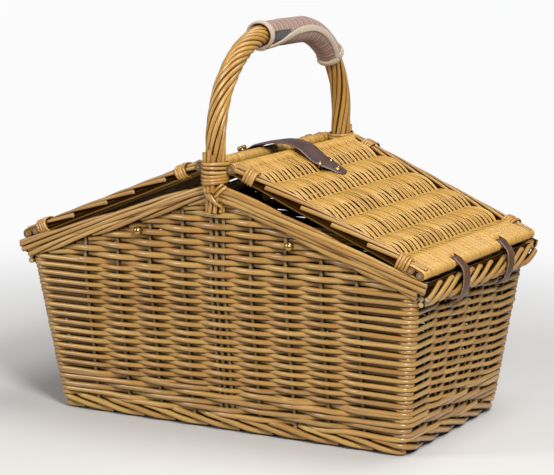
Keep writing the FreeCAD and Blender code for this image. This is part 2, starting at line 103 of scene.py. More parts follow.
# ---------------------------------------------------------------- mesh collection
class Bag:
    """Collects tubes and strips, then makes one mesh object of them."""
    def __init__(self):
        self.v, self.f4, self.f3, self.w, self.k = [], [], [], [], []
        self.n = 0

    def add(self, verts, quads, tris, wp, kind):
        self.v.append(verts); self.w.append(wp); self.k.append(kind)
        if len(quads): self.f4.append(quads + self.n)
        if len(tris): self.f3.append(tris + self.n)
        self.n += len(verts)

    def make(self, name, mat, body, replaces=(), smooth=True):
        v = np.concatenate(self.v) * MM
        w = np.concatenate(self.w); k = np.concatenate(self.k)
        f4 = np.concatenate(self.f4) if self.f4 else np.zeros((0, 4), int)
        f3 = np.concatenate(self.f3) if self.f3 else np.zeros((0, 3), int)
        me = bpy.data.meshes.new(name)
        me.vertices.add(len(v)); me.vertices.foreach_set("co", v.astype(np.float32).ravel())
        loops = np.concatenate([f4.ravel(), f3.ravel()]).astype(np.int32)
        me.loops.add(len(loops)); me.loops.foreach_set("vertex_index", loops)
        starts = np.concatenate([np.arange(len(f4)) * 4, len(f4) * 4 + np.arange(len(f3)) * 3]).astype(np.int32)
        me.polygons.add(len(starts)); me.polygons.foreach_set("loop_start", starts)
        me.update(calc_edges=True); me.validate()
        a = me.attributes.new("wp", "FLOAT_VECTOR", "POINT"); a.data.foreach_set("vector", w.astype(np.float32).ravel())
        b = me.attributes.new("kind", "FLOAT", "POINT"); b.data.foreach_set("value", k.astype(np.float32))
        me.polygons.foreach_set("use_smooth", np.full(len(me.polygons), smooth))
        me.materials.append(mat)
        o = bpy.data.objects.new(name, me)
        bpy.context.scene.collection.objects.link(o)
        if body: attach(o, body)
        if replaces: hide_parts(*replaces)
        return o


def frames(P, up=None):
    """Tangent and two side directions along a line, kept from twisting."""
    T = np.gradient(P, axis=0); T /= np.linalg.norm(T, axis=1)[:, None] + 1e-12
    if up is not None:
        U = np.broadcast_to(np.asarray(up, float), P.shape).copy()
        U -= (U * T).sum(1)[:, None] * T
        U /= np.linalg.norm(U, axis=1)[:, None] + 1e-12
        return T, U, np.cross(T, U)
    u = np.cross(T[0], [0.3, 0.2, 1.0]); u /= np.linalg.norm(u)
    U = np.empty_like(P)
    for i in range(len(P)):
        u = u - (u @ T[i]) * T[i]; u /= np.linalg.norm(u); U[i] = u
    return T, U, np.cross(T, U)


def tube(bag, P, r, sides=8, rz=None, up=None, caps=True, rnd=None, closed=False, u0=None, out=None):
    """A rod along P. r is its radius along up, rz the radius across it."""
    P = np.asarray(P, float); n = len(P)
    r = np.broadcast_to(np.asarray(r, float), (n,)).copy()
    rz = r if rz is None else np.broadcast_to(np.asarray(rz, float), (n,))
    if closed:
        Pe = np.vstack([P[-2:], P, P[:2]])
        T, U, W = frames(Pe, up); T, U, W = T[2:-2], U[2:-2], W[2:-2]
    else:
        T, U, W = frames(P, up)
    a = np.linspace(0, 2 * np.pi, sides, endpoint=False)
    ring = (U[:, None, :] * (np.cos(a)[None, :, None] * r[:, None, None])
            + W[:, None, :] * (np.sin(a)[None, :, None] * rz[:, None, None]))
    V = (P[:, None, :] + ring).reshape(-1, 3)
    seg = np.linalg.norm(np.diff(P, axis=0), axis=1)
    L = np.concatenate([[0], np.cumsum(seg)])
    if rnd is None: rnd = rng.random()
    if u0 is None: u0 = rng.random() * 400
    wp = np.zeros((n, sides, 3)); wp[:, :, 0] = (L + u0)[:, None]; wp[:, :, 1] = np.arange(sides)[None, :] / sides; wp[:, :, 2] = rnd
    wp = wp.reshape(-1, 3)
    m = n if closed else n - 1
    i = np.arange(m)[:, None]; j = np.arange(sides)[None, :]
    i2 = (i + 1) % n; j2 = (j + 1) % sides
    Q = np.stack([i * sides + j, i * sides + j2, i2 * sides + j2, i2 * sides + j], -1).reshape(-1, 4)
    tris = np.zeros((0, 3), int); kind = np.full(len(V), 0.4)
    if out is not None:
        # how far each side of the rod faces out of the weave: 0 inwards, 0.4 outwards; the willow material paints shade
        # on the inward sides from this
        o = np.broadcast_to(np.asarray(out, float), P.shape); o = o / (np.linalg.norm(o, axis=1)[:, None] + 1e-9)
        dr = U[:, None, :] * np.cos(a)[None, :, None] + W[:, None, :] * np.sin(a)[None, :, None]
        kind = (0.2 * ((dr * o[:, None, :]).sum(-1) + 1)).ravel()
    if caps and not closed:
        V2, k2, t = [], [], []
        for e, base, sgn in ((0, 0, -1), (n - 1, (n - 1) * sides, 1)):
            c = len(V) + len(V2) * (sides + 1)
            cv = np.vstack([V[base:base + sides], P[e] + T[e] * sgn * 0.15 * r[e]])
            V2.append(cv); k2.append(np.concatenate([np.full(sides, 0.6), [1.0]]))
            idx = np.arange(sides)
            tt = np.stack([np.full(sides, c + sides), c + idx, c + (idx + 1) % sides], -1)
            if sgn < 0: tt = tt[:, ::-1]
            t.append(tt)
        wp = np.vstack([wp] + [np.tile([[u0, 0.5, rnd]], (sides + 1, 1))] * 2)
        V = np.vstack([V] + V2); kind = np.concatenate([kind] + k2); tris = np.concatenate(t)
    bag.add(V, Q, tris, wp, kind)


def flat(bag, P, up, width, thick, rnd=None, crown=0.35, u0=None, cap=True):
    """A flat split strip along P; up is the strip's face normal at each point."""
    P = np.asarray(P, float); n = len(P)
    T = np.gradient(P, axis=0); T /= np.linalg.norm(T, axis=1)[:, None] + 1e-12
    U = np.broadcast_to(np.asarray(up, float), P.shape).copy()
    U -= (U * T).sum(1)[:, None] * T; U /= np.linalg.norm(U, axis=1)[:, None] + 1e-12
    W = np.cross(T, U)
    w = np.broadcast_to(np.asarray(width, float), (n,)); t = np.broadcast_to(np.asarray(thick, float), (n,))
    prof = [(-0.5, 0.0), (-0.36, 0.42), (0.0, 0.5 + crown), (0.36, 0.42), (0.5, 0.0), (0.30, -0.55), (-0.30, -0.55)]
    k = len(prof)
    V = np.empty((n, k, 3))
    for q, (a, b) in enumerate(prof):
        V[:, q] = P + W * (a * w)[:, None] + U * (b * t)[:, None]
    V = V.reshape(-1, 3)
    seg = np.linalg.norm(np.diff(P, axis=0), axis=1); L = np.concatenate([[0], np.cumsum(seg)])
    if rnd is None: rnd = rng.random()
    if u0 is None: u0 = rng.random() * 400
    wp = np.zeros((n, k, 3)); wp[:, :, 0] = (L + u0)[:, None]; wp[:, :, 1] = np.array([0.0, .12, .25, .38, .5, .7, .85])[None, :]; wp[:, :, 2] = rnd
    i = np.arange(n - 1)[:, None]; j = np.arange(k)[None, :]; j2 = (j + 1) % k
    Q = np.stack([i * k + j, i * k + j2, (i + 1) * k + j2, (i + 1) * k + j], -1).reshape(-1, 4)
    tris = np.zeros((0, 3), int)
    if cap:
        t0 = np.array([[0, q, q + 1] for q in range(1, k - 1)])
        tris = np.vstack([t0[:, ::-1], t0 + (n - 1) * k])
    # facing values across the strip: the edges are low, so the willow material paints shade along them
    kd = np.tile(np.array([0.19, 0.34, 0.4, 0.34, 0.19, 0.37, 0.37]), n)
    bag.add(V, Q, tris, wp.reshape(-1, 3), kd)


def smooth_noise(n, scale, amp):
    """A slow random wander, n samples long, one knot per scale samples."""
    m = max(int(n / scale) + 3, 4)
    k = rng.normal(0, 1, m)
    x = np.linspace(0, m - 2.01, n); i = x.astype(int); f = x - i; f = f * f * (3 - 2 * f)
    return amp * (k[i] * (1 - f) + k[i + 1] * f)


# ---------------------------------------------------------------- materials
def new_mat(name):
    m = bpy.data.materials.new(name); m.use_nodes = True
    nt = m.node_tree
    for n in list(nt.nodes): nt.nodes.remove(n)
    out = nt.nodes.new("ShaderNodeOutputMaterial")
    b = nt.nodes.new("ShaderNodeBsdfPrincipled")
    nt.links.new(b.outputs[0], out.inputs[0])
    return m, nt, b


def N(nt, kind, **kw):
    n = nt.nodes.new(kind)
    for k, v in kw.items():
        if hasattr(n, k): setattr(n, k, v)
    return n


def math_(nt, op, a, b=None, c=None, clamp=False):
    n = nt.nodes.new("ShaderNodeMath"); n.operation = op; n.use_clamp = clamp
    for i, x in enumerate((a, b, c)):
        if x is None: continue
        if isinstance(x, (int, float)): n.inputs[i].default_value = x
        else: nt.links.new(x, n.inputs[i])
    return n.outputs[0]


def mix(nt, fac, a, b, blend="MIX"):
    n = nt.nodes.new("ShaderNodeMix"); n.data_type = "RGBA"; n.blend_type = blend
    for s, x in ((n.inputs[0], fac), (n.inputs[6], a), (n.inputs[7], b)):
        if isinstance(x, (int, float)): s.default_value = x
        elif isinstance(x, (tuple, list)): s.default_value = (*x[:3], 1.0)
        else: nt.links.new(x, s)
    return n.outputs[2]


def ramp(nt, fac, stops, interp="LINEAR"):
    n = nt.nodes.new("ShaderNodeValToRGB"); n.color_ramp.interpolation = interp
    e = n.color_ramp.elements
    while len(e) < len(stops): e.new(0.5)
    for el, (p, c) in zip(e, stops):
        el.position = p; el.color = (*c[:3], 1.0) if len(c) >= 3 else (c[0], c[0], c[0], 1)
    nt.links.new(fac, n.inputs[0])
    return n.outputs[0]


def noise(nt, vec, scale, detail=3.0, rough=0.55, w=None):
    n = nt.nodes.new("ShaderNodeTexNoise")
    n.inputs["Scale"].default_value = scale; n.inputs["Detail"].default_value = detail
    n.inputs["Roughness"].default_value = rough
    nt.links.new(vec, n.inputs["Vector"])
    return n.outputs["Fac"]


def willow(name, tones, dark, rough=0.38, coat=0.35, streak=0.5, patch=0.35, end=(0.62, 0.50, 0.30), bump=0.25, pith=(0.80, 0.68, 0.42)):
    """Peeled, boiled and varnished willow. wp holds length (mm), way round (0..1) and a number per rod."""
    m, nt, b = new_mat(name)
    at = N(nt, "ShaderNodeAttribute"); at.attribute_name = "wp"
    sep = N(nt, "ShaderNodeSeparateXYZ"); nt.links.new(at.outputs["Vector"], sep.inputs[0])
    u, v, r = sep.outputs
    geo = N(nt, "ShaderNodeTexCoord")
    r1 = math_(nt, "FRACT", math_(nt, "MULTIPLY", r, 7.31))
    r2 = math_(nt, "FRACT", math_(nt, "MULTIPLY", r, 23.17))
    # round coordinate that joins up, for streaks along the rod
    ang = math_(nt, "MULTIPLY", v, 6.28318)
    cv = N(nt, "ShaderNodeCombineXYZ")
    nt.links.new(math_(nt, "MULTIPLY", u, 0.012), cv.inputs[0])
    nt.links.new(math_(nt, "ADD", math_(nt, "MULTIPLY", math_(nt, "COSINE", ang), 0.9), math_(nt, "MULTIPLY", r, 91.0)), cv.inputs[1])
    nt.links.new(math_(nt, "MULTIPLY", math_(nt, "SINE", ang), 0.9), cv.inputs[2])
    st = noise(nt, cv.outputs[0], 3.2, 4.0, 0.62)
    cv2 = N(nt, "ShaderNodeCombineXYZ")
    nt.links.new(math_(nt, "MULTIPLY", u, 0.05), cv2.inputs[0])
    nt.links.new(math_(nt, "ADD", math_(nt, "MULTIPLY", math_(nt, "COSINE", ang), 0.35), math_(nt, "MULTIPLY", r, 57.0)), cv2.inputs[1])
    nt.links.new(math_(nt, "MULTIPLY", math_(nt, "SINE", ang), 0.35), cv2.inputs[2])
    pa = noise(nt, cv2.outputs[0], 1.0, 3.0, 0.55)
    base = ramp(nt, r1, tones)
    col = mix(nt, math_(nt, "MULTIPLY", math_(nt, "SUBTRACT", st, 0.42), 2.6 * streak, clamp=True), base, dark)
    lightc = mix(nt, 0.45, base, (0.90, 0.70, 0.38))
    col = mix(nt, math_(nt, "MULTIPLY", math_(nt, "SUBTRACT", pa, 0.52), 2.4 * patch, clamp=True), col, lightc)
    reds = ramp(nt, pa, [(0.30, (1, 1, 1)), (0.42, (0, 0, 0))])
    col = mix(nt, math_(nt, "MULTIPLY", reds, math_(nt, "MULTIPLY", r2, 0.45)), col, mix(nt, 0.6, base, (0.34, 0.13, 0.045)))
    # small scars and buds
    cv3 = N(nt, "ShaderNodeCombineXYZ")
    nt.links.new(math_(nt, "MULTIPLY", u, 0.16), cv3.inputs[0])
    nt.links.new(math_(nt, "ADD", math_(nt, "MULTIPLY", math_(nt, "COSINE", ang), 0.8), math_(nt, "MULTIPLY", r, 131.0)), cv3.inputs[1])
    nt.links.new(math_(nt, "MULTIPLY", math_(nt, "SINE", ang), 0.8), cv3.inputs[2])
    sc = noise(nt, cv3.outputs[0], 1.3, 1.0, 0.4)
    scar = ramp(nt, sc, [(0.74, (0, 0, 0)), (0.80, (1, 1, 1))])
    col = mix(nt, math_(nt, "MULTIPLY", scar, 0.75), col, (0.13, 0.06, 0.025))
    # grain of the wood at the finest scale
    gr = noise(nt, cv.outputs[0], 14.0, 3.0, 0.6)
    col = mix(nt, math_(nt, "MULTIPLY", math_(nt, "SUBTRACT", gr, 0.5), 0.9, clamp=True), col, dark)
    # cut ends
    kd = N(nt, "ShaderNodeAttribute"); kd.attribute_name = "kind"
    kf = kd.outputs["Fac"]
    # painted shade: the sides that face into the weave are darkened towards near black, where shade falls in the gaps
    painted_shade_mask = ramp(nt, kf, [(0.20, (0, 0, 0)), (0.352, (1, 1, 1))], "EASE")
    # the dark colour that the painted shade multiplies in
    painted_shade_col = mix(nt, 1.0, col, (0.07, 0.042, 0.018), "MULTIPLY")
    col = mix(nt, painted_shade_mask, painted_shade_col, col)
    ends = ramp(nt, kf, [(0.0, (0, 0, 0)), (0.45, (0, 0, 0)), (0.58, (1, 1, 1))])
    endc = ramp(nt, kf, [(0.60, tuple(x * 0.55 for x in end)), (0.74, end), (0.84, tuple(x * 0.72 for x in end)), (0.93, pith)])
    col = mix(nt, ends, col, endc)
    nt.links.new(col, b.inputs["Base Color"])
    rr = math_(nt, "ADD", rough - 0.1, math_(nt, "MULTIPLY", gr, 0.28))
    nt.links.new(math_(nt, "ADD", rr, math_(nt, "MULTIPLY", ends, 0.25), clamp=True), b.inputs["Roughness"])
    # varnish doesn't shine down in the gaps
    nt.links.new(math_(nt, "MULTIPLY", painted_shade_mask, coat), b.inputs["Coat Weight"])
    b.inputs["Coat Roughness"].default_value = 0.22
    nt.links.new(math_(nt, "MULTIPLY", painted_shade_mask, 0.45), b.inputs["Specular IOR Level"])
    bp = N(nt, "ShaderNodeBump"); bp.inputs["Strength"].default_value = bump; bp.inputs["Distance"].default_value = 0.0006
    h = math_(nt, "ADD", math_(nt, "MULTIPLY", gr, 0.6), math_(nt, "MULTIPLY", st, 0.8))
    h = math_(nt, "SUBTRACT", h, math_(nt, "MULTIPLY", scar, 0.6))
    nt.links.new(h, bp.inputs["Height"]); nt.links.new(bp.outputs[0], b.inputs["Normal"])
    return m


WALL = willow("willow_wall", [(0.0, (0.388, 0.195, 0.0407)), (0.3, (0.485, 0.271, 0.0629)), (0.55, (0.349, 0.166, 0.0333)), (0.8, (0.524, 0.314, 0.0851)), (1.0, (0.291, 0.142, 0.0333))],
              (0.15, 0.062, 0.016), streak=0.6, coat=0.6, rough=0.32)
STAKE = willow("willow_stake", [(0.0, (0.194, 0.119, 0.0481)), (0.5, (0.252, 0.162, 0.0666)), (1.0, (0.320, 0.209, 0.0888))],
               (0.08, 0.05, 0.03), streak=0.6, coat=0.15, rough=0.5)
BORDER = willow("willow_border", [(0.0, (0.407, 0.214, 0.0459)), (0.4, (0.524, 0.309, 0.0777)), (0.7, (0.369, 0.180, 0.0370)), (1.0, (0.466, 0.257, 0.0592))],
                (0.15, 0.065, 0.018), streak=0.65, coat=0.55, rough=0.34, end=(0.46, 0.31, 0.15), pith=(0.62, 0.46, 0.24))
SPLIT = willow("willow_split", [(0.0, (0.543, 0.299, 0.0503)), (0.35, (0.640, 0.370, 0.0740)), (0.65, (0.485, 0.257, 0.0407)), (1.0, (0.601, 0.351, 0.0814))],
               (0.26, 0.115, 0.022), streak=0.55, patch=0.3, rough=0.40, coat=0.35, bump=0.3)
HANDLE = willow("willow_handle", [(0.0, (0.485, 0.252, 0.0481)), (0.4, (0.582, 0.328, 0.0740)), (0.7, (0.407, 0.195, 0.0370)), (1.0, (0.533, 0.294, 0.0629))],
                (0.15, 0.06, 0.015), streak=0.7, coat=0.6, rough=0.30, end=(0.20, 0.11, 0.05), pith=(0.36, 0.24, 0.12))

# ---------------------------------------------------------------- walls
POSTS = [(-1, -1), (1, -1), (1, 1), (-1, 1)]
XS = [40.5 * (i - 4) for i in range(9)]
YS = [-91.5, -55.0, -18.3, 18.3, 55.0, 91.5]
RC = 8.0


def outline(z, t, inset=6.0):
    """Point and outward direction at distance t round the wall's middle line at height z, starting at the front left."""
    a, b = end_x(z) - inset, side_y(z) - inset
    la, lb, q = 2 * (a - RC), 2 * (b - RC), math.pi * RC / 2
    per = 2 * la + 2 * lb + 4 * q
    t = np.mod(t, per)
    P = np.zeros((len(t), 3)); Nn = np.zeros((len(t), 3))
    segs = [(la, "l", (-(a - RC), -b), (1, 0), (0, -1)), (q, "c", (a - RC, -(b - RC)), -90, None),
            (lb, "l", (a, -(b - RC)), (0, 1), (1, 0)), (q, "c", (a - RC, b - RC), 0, None),
            (la, "l", (a - RC, b), (-1, 0), (0, 1)), (q, "c", (-(a - RC), b - RC), 90, None),
            (lb, "l", (-a, b - RC), (0, -1), (-1, 0)), (q, "c", (-(a - RC), -(b - RC)), 180, None)]
    s = 0.0
    for L, kind, c, d, nn in segs:
        m = (t >= s - 1e-9) & (t < s + L)
        x = t[m] - s
        if kind == "l":
            P[m, 0] = c[0] + d[0] * x; P[m, 1] = c[1] + d[1] * x; Nn[m, 0] = nn[0]; Nn[m, 1] = nn[1]
        else:
            an = np.radians(d) + x / RC
            P[m, 0] = c[0] + RC * np.cos(an); P[m, 1] = c[1] + RC * np.sin(an)
            Nn[m, 0] = np.cos(an); Nn[m, 1] = np.sin(an)
        s += L
    P[:, 2] = z
    return P, Nn, per, (la, lb, q)


def knots(z, row):
    """Where a row passes each stake (distance round) and on which side."""
    a, b = end_x(z) - 6, side_y(z) - 6
    la, lb, q = 2 * (a - RC), 2 * (b - RC), math.pi * RC / 2
    k = side_y(z) / side_y(90)
    out = []
    s = 0
    for i, x in enumerate(XS): out.append((s + x + (a - RC), (-1) ** (i + row), i))
    s += la; out.append((s + q / 2, 2, -1)); s += q
    for i, y in enumerate(YS): out.append((s + y * k + (b - RC), (-1) ** (i + row), i))
    s += lb; out.append((s + q / 2, 2, -1)); s += q
    for i, x in enumerate(XS): out.append((s + x + (a - RC), (-1) ** (i + row), i))
    s += la; out.append((s + q / 2, 2, -1)); s += q
    for i, y in enumerate(YS): out.append((s + y * k + (b - RC), (-1) ** (i + row), i))
    s += lb; out.append((s + q / 2, 2, -1)); s += q
    return out, s


def ease(t, tk, vk):
    """Smooth steps between knots."""
    i = np.clip(np.searchsorted(tk, t) - 1, 0, len(tk) - 2)
    f = np.clip((t - tk[i]) / (tk[i + 1] - tk[i]), 0, 1)
    f = f * f * (3 - 2 * f) * 0.7 + (0.5 - 0.5 * np.cos(np.pi * f)) * 0.3
    return vk[i] * (1 - f) + vk[i + 1] * f


def lean(z):
    """How the front and back walls lean, as the row's own tilt: the side flare below the wall top, none above."""
    return SIDE_FLARE if z < WALL_TOP else 0.0


def wall_row(bag, z, row, amp=4.0, r=2.34, pattern=None, step=3.6, wob=0.17, seg=(330, 520)):
    ks, per = knots(z, row)
    if pattern is not None:
        ks = [(t, (2 if sgn == 2 else pattern(j)), i) for j, (t, sgn, i) in enumerate(ks)]
    tk = np.array([k[0] for k in ks]); sg = np.array([1.0 if k[1] == 2 else float(k[1]) for k in ks])
    # joins are hidden behind stakes
    hidden = [j for j in range(len(ks)) if sg[j] < 0]
    cuts = []; t0 = None; want = rng.uniform(*seg) * rng.random()
    last = 0.0
    for j in hidden:
        if tk[j] - last > want:
            cuts.append(tk[j]); last = tk[j]; want = rng.uniform(*seg)
    if len(cuts) < 2: cuts = [tk[hidden[0]], tk[hidden[len(hidden) // 2]]]
    # a rod that passes inside the last stake only comes out close to the corner
    xt, xs = [], []
    for j in range(len(ks)):
        if ks[j][1] == 2:
            for q_ in (-1, 1):
                nb = (j + q_) % len(ks)
                if sg[nb] < 0: xt.append(tk[j] + q_ * 15.0); xs.append(-0.55)
    o_ = np.argsort(np.concatenate([tk, xt])); tk2 = np.concatenate([tk, xt])[o_]; sg2 = np.concatenate([sg, xs])[o_]
    TK = np.concatenate([tk2 - per, tk2, tk2 + per, tk2 + 2 * per]); SG = np.concatenate([sg2] * 4)
    zz = rng.normal(0, 0.05)
    for c in range(len(cuts)):
        a = cuts[c] - 5; b = (cuts[c + 1] if c + 1 < len(cuts) else cuts[0] + per) + 5
        n = int((b - a) / step) + 2
        t = np.linspace(a, b, n)
        P, Nn, _, _ = outline(z, t)
        off = ease(t, TK, SG) * amp
        rr = r * np.linspace(1.07, 0.97, n) * (1 + smooth_noise(n, 11, 0.03))
        if rng.random() < 0.5: rr = rr[::-1]
        # rods swell outwards where they pass in front
        up = smooth_noise(n, 12, wob) + zz
        P = P + Nn * (off[:, None] + smooth_noise(n, 9, 0.18)[:, None]); P[:, 2] += up
        # thin where it slips behind, full where it shows
        fat = 1.11 - 0.09 * off / amp
        # out leans upwards, so the painted shade falls more on each rod's lower side than on its top
        tube(bag, P, rr * 1.12 * fat, 8, rz=rr * 0.98, up=(0, 0, 1), out=Nn + np.array([0, 0, 0.42]))


rows = Bag()
z = 46.3; i = 0
while z < 164.5:
    wall_row(rows, z, i)
    z += 4.56; i += 1
LOW_ROWS = i
for zz_ in (z, z + 4.4, z + 8.2):
    wall_row(rows, zz_, i, r=2.34, wob=0.15); i += 1
rows.make("wall_weave", WALL, "basket", ("front_wall_weave", "back_wall_weave", "left_wall_weave", "right_wall_weave"))


# gable weave: thicker rods that end under the border
def wale_line(x):
    return 258.4 - 0.365 * (np.sqrt(np.asarray(x, float) ** 2 + 144) - 12) - 0.0


gab = Bag()
for sy in (-1, 1):
    z = 174.6; i = 0
    while z < 250:
        half = (258.4 - 4 - z) / 0.365 + 6
        half = min(half, 226)
        if half > 20:
            n = int(2 * half / 3.6) + 3
            x = np.linspace(-half, half, n)
            tk = np.array([40.5 * (j - 7) for j in range(15)]); sg = np.array([(-1.0) ** (j + i + LOW_ROWS + 1) for j in range(15)])
            off = ease(x, tk, sg) * 3.7
            m = side_y(WALL_TOP) - 6
            # near the ends rods sink inwards and bend up along the border
            edge = np.clip((np.abs(x) - (half - 34)) / 34, 0, 1)
            P = np.stack([x, sy * (m + off * (1 - 0.5 * edge) - 0.8 * edge), z + smooth_noise(n, 12, 0.2) + rng.normal(0, 0.08) - 2.2 * edge ** 2], -1)
            k = int(rng.integers(0, 3))
            rr = 3.25 * (1 + smooth_noise(n, 12, 0.035)) * np.linspace(1.04, 0.98, n)
            # a list for joins behind a stake, left empty and not used
            hid = [q for q in range(n) if False]
            # out leans upwards here too: painted shade mostly on the rods' lower sides
            tube(gab, P, rr * 1.06, 8, rz=rr * 0.9, up=(0, 0, 1), out=(0, sy, 0.42))
        z += 6.2; i += 1
gab.make("gable_weave", WALL, "basket")

# heavy band above the foot: each rod passes two stakes outside and one inside
band_ = Bag()
z = 18.8; i = 0
while z < 44:
    wall_row(band_, z, i, amp=3.7, r=2.75, pattern=lambda j, i=i: (1 if (j + i) % 3 else -1), wob=0.7, seg=(260, 420))
    z += 5.0; i += 1
band_.make("bottom_band", WALL, "basket", ("bottom_wale",))

# stakes and posts
stk = Bag()
for sy in (-1, 1):
    for x in XS + [8.0, -6.5]:
        top = float(wale_line(x)) + (6 if x in XS else 2)
        zs = np.linspace(8, top, 40)
        y = sy * (side_y(zs) - 6)
        P = np.stack([np.full(40, x) + smooth_noise(40, 8, 0.3), y, zs], -1)
        tube(stk, P, 2.35, 8, out=(0, sy, 0))
for sx in (-1, 1):
    for y in YS:
        zs = np.linspace(8, 172, 30)
        P = np.stack([sx * (end_x(zs) - 6), y * side_y(zs) / side_y(90) + smooth_noise(30, 8, 0.25), zs], -1)
        tube(stk, P, 2.35, 8, out=(sx, 0, 0))
for sx, sy in POSTS:
    zs = np.linspace(6, 176, 30)
    P = np.stack([sx * (end_x(zs) - 8.5), sy * (side_y(zs) - 8.5), zs], -1)
    tube(stk, P, 3.4, 10)
stk.make("stakes", STAKE, "basket", ("front_stakes", "back_stakes", "left_stakes", "right_stakes", "corner_posts"))


# ---------------------------------------------------------------- rolled borders
def rolled(bag, path, t_lo, t_hi, gap, length, r, ro, ru, a0, a1, out, upv, jitter=3.0, step=4.0, tuck=0.55, taper=0.85):
    """Rods that start every `gap` along a path, climb round it from angle a0 to a1 and end cut or tucked."""
    t0 = t_lo - length * 0.8
    while t0 < t_hi:
        s = t0 + rng.uniform(-jitter, jitter); e = s + length * rng.uniform(0.92, 1.08)
        s2, e2 = max(s, t_lo), min(e, t_hi)
        if e2 - s2 > 14:
            n = max(int((e2 - s2) / step), 5)
            t = np.linspace(s2, e2, n); f = (t - s) / (e - s)
            ang = np.radians(a0 + (a1 - a0) * f)
            k = 1 - tuck * np.clip((0.12 - f) / 0.12, 0, 1) - tuck * np.clip((f - 0.9) / 0.1, 0, 1)
            C = path(t); o = out(t); u = upv(t)
            P = C + o * (np.cos(ang) * ro * k)[:, None] + u * (np.sin(ang) * ru * k)[:, None]
            P += np.stack([smooth_noise(n, 8, 0.25) for _ in range(3)], -1)
            rr = r * (1 - (1 - taper) * f) * (1 + smooth_noise(n, 8, 0.04)) * rng.uniform(0.94, 1.06)
            tube(bag, P, rr, 10, out=o * 1.0 + u * 0.42 + 0.5 * (o * np.cos(ang)[:, None] + u * np.sin(ang)[:, None]))
        t0 += gap


def sm_(a, b, x):
    t = np.clip((np.asarray(x, float) - a) / (b - a), 0, 1)
    return t * t * (3 - 2 * t)


def const(v):
    v = np.asarray(v, float)
    return lambda t: np.broadcast_to(v, (len(t), 3))


foot = Bag()
_, _, PER0, _ = outline(8.0, np.zeros(1), 6.0)


def foot_rods():
    n_r = 32; gap = PER0 / n_r; length = 92.0
    for k in range(n_r):
        s = k * gap + rng.uniform(-1.5, 1.5)
        n = 28; f = np.linspace(0, 1, n); t = s + f * length
        zc = 17.5 - 13.6 * sm_(0.02, 0.98, f)
        P, Nn, _, _ = outline(8.0, t, 6.0)
        zr = np.clip(zc, 3.6, 30)
        off = -4.5 + 7.2 * sm_(0.0, 0.22, f) - 5.6 * sm_(0.66, 1.0, f)
        P = P + Nn * (off + (zr - 8.0) * 0.14)[:, None]; P[:, 2] = zr + smooth_noise(n, 8, 0.15)
        rr = 3.45 * (1 + smooth_noise(n, 8, 0.04)) * np.linspace(1.0, 0.94, n)
        tube(foot, P, rr, 10, out=Nn + np.array([0, 0, 0.5]))


foot_rods()
# the stakes' own ends, bent inside the foot
for kk in (0,):
    P, Nn, per, _ = outline(5.0, np.linspace(0, PER0, 260), 8.5)
    tube(foot, P[:-1], 2.7, 8, closed=True, out=-Nn[:-1])
    P, Nn, per, _ = outline(11.0, np.linspace(0, PER0, 260), 8.0)
    tube(foot, P[:-1], 2.7, 8, closed=True, out=-Nn[:-1])
foot.make("foot_border_rods", BORDER, "basket", ("foot_border",))

top = Bag()
HL = 240.5


def gable_path(zf, y):
    def path(t):
        x = t
        return np.stack([x, np.full(len(t), y), zf(x)], -1)
    return path


def border_c(x):
    return 263.6 - 0.351 * (np.sqrt(np.asarray(x, float) ** 2 + 100) - 10)


def slope_up(t):
    s = np.sign(t) * 0.351 * np.minimum(np.abs(t) / 12, 1)
    v = np.stack([s, np.zeros(len(t)), np.ones(len(t))], -1)
    return v / np.linalg.norm(v, axis=1)[:, None]


for sy in (-1, 1):
    y = sy * 144.0
    rolled(top, gable_path(border_c, y), -HL, HL, 82.0, 250.0, 2.75, 4.1, 4.5, -80, 100, const((0, sy, 0)), slope_up, jitter=6, tuck=0.3)
    # filler rods in the middle so that no light shows through
    tt = np.linspace(-HL + 2, HL - 2, 120)
    for dy, dz in ((-1.2, 2.4), (-1.2, -2.4), (-3.0, 0.0)):
        P = gable_path(lambda x: border_c(x) + dz, y + sy * dy)(tt); tube(top, P, 2.6, 8, out=(0, -sy, -0.1))
    # straight rods inside, where the wall rows end and the gable rows begin
    for zz_ in (164.8, 169.2, 173.6, 178.0):
        P = np.stack([tt * 0.965, np.full(120, sy * 134.6), np.full(120, zz_) + smooth_noise(120, 11, 0.2)], -1); tube(top, P, 2.45, 8, out=(0, -sy, 0.1))
    rolled(top, gable_path(lambda x: wale_line(x) - 2.6, y + sy * 0.3), -231, 231, 60.0, 130.0, 2.75, 2.9, 2.9, -110, 110, const((0, sy, 0)), slope_up, jitter=6, tuck=0.3)
for sx in (-1, 1):
    def sp(t, sx=sx): return np.stack([np.full(len(t), sx * 237.0), t * sx, np.full(len(t), 175.5)], -1)
    def su(t): return np.broadcast_to(np.array([0, 0, 1.0]), (len(t), 3))
    rolled(top, sp, -142, 142, 27.0, 62.0, 3.3, 4.0, 9.0, -78, 84, const((sx, 0, 0)), su, jitter=3, tuck=0.15)
    t = np.linspace(-140, 140, 60)
    for zz_, xx_ in ((166, 233.0), (172, 233.0), (178, 233.5), (183.3, 234.5)):
        P = np.stack([np.full(60, sx * xx_), t, np.full(60, zz_)], -1); tube(top, P, 3.1, 8, out=(-sx, 0, 0.3))
top.make("top_border_rods", BORDER, "basket", ("front_gable_border", "back_gable_border", "left_side_border", "right_side_border", "front_gable_wale", "back_gable_wale"))

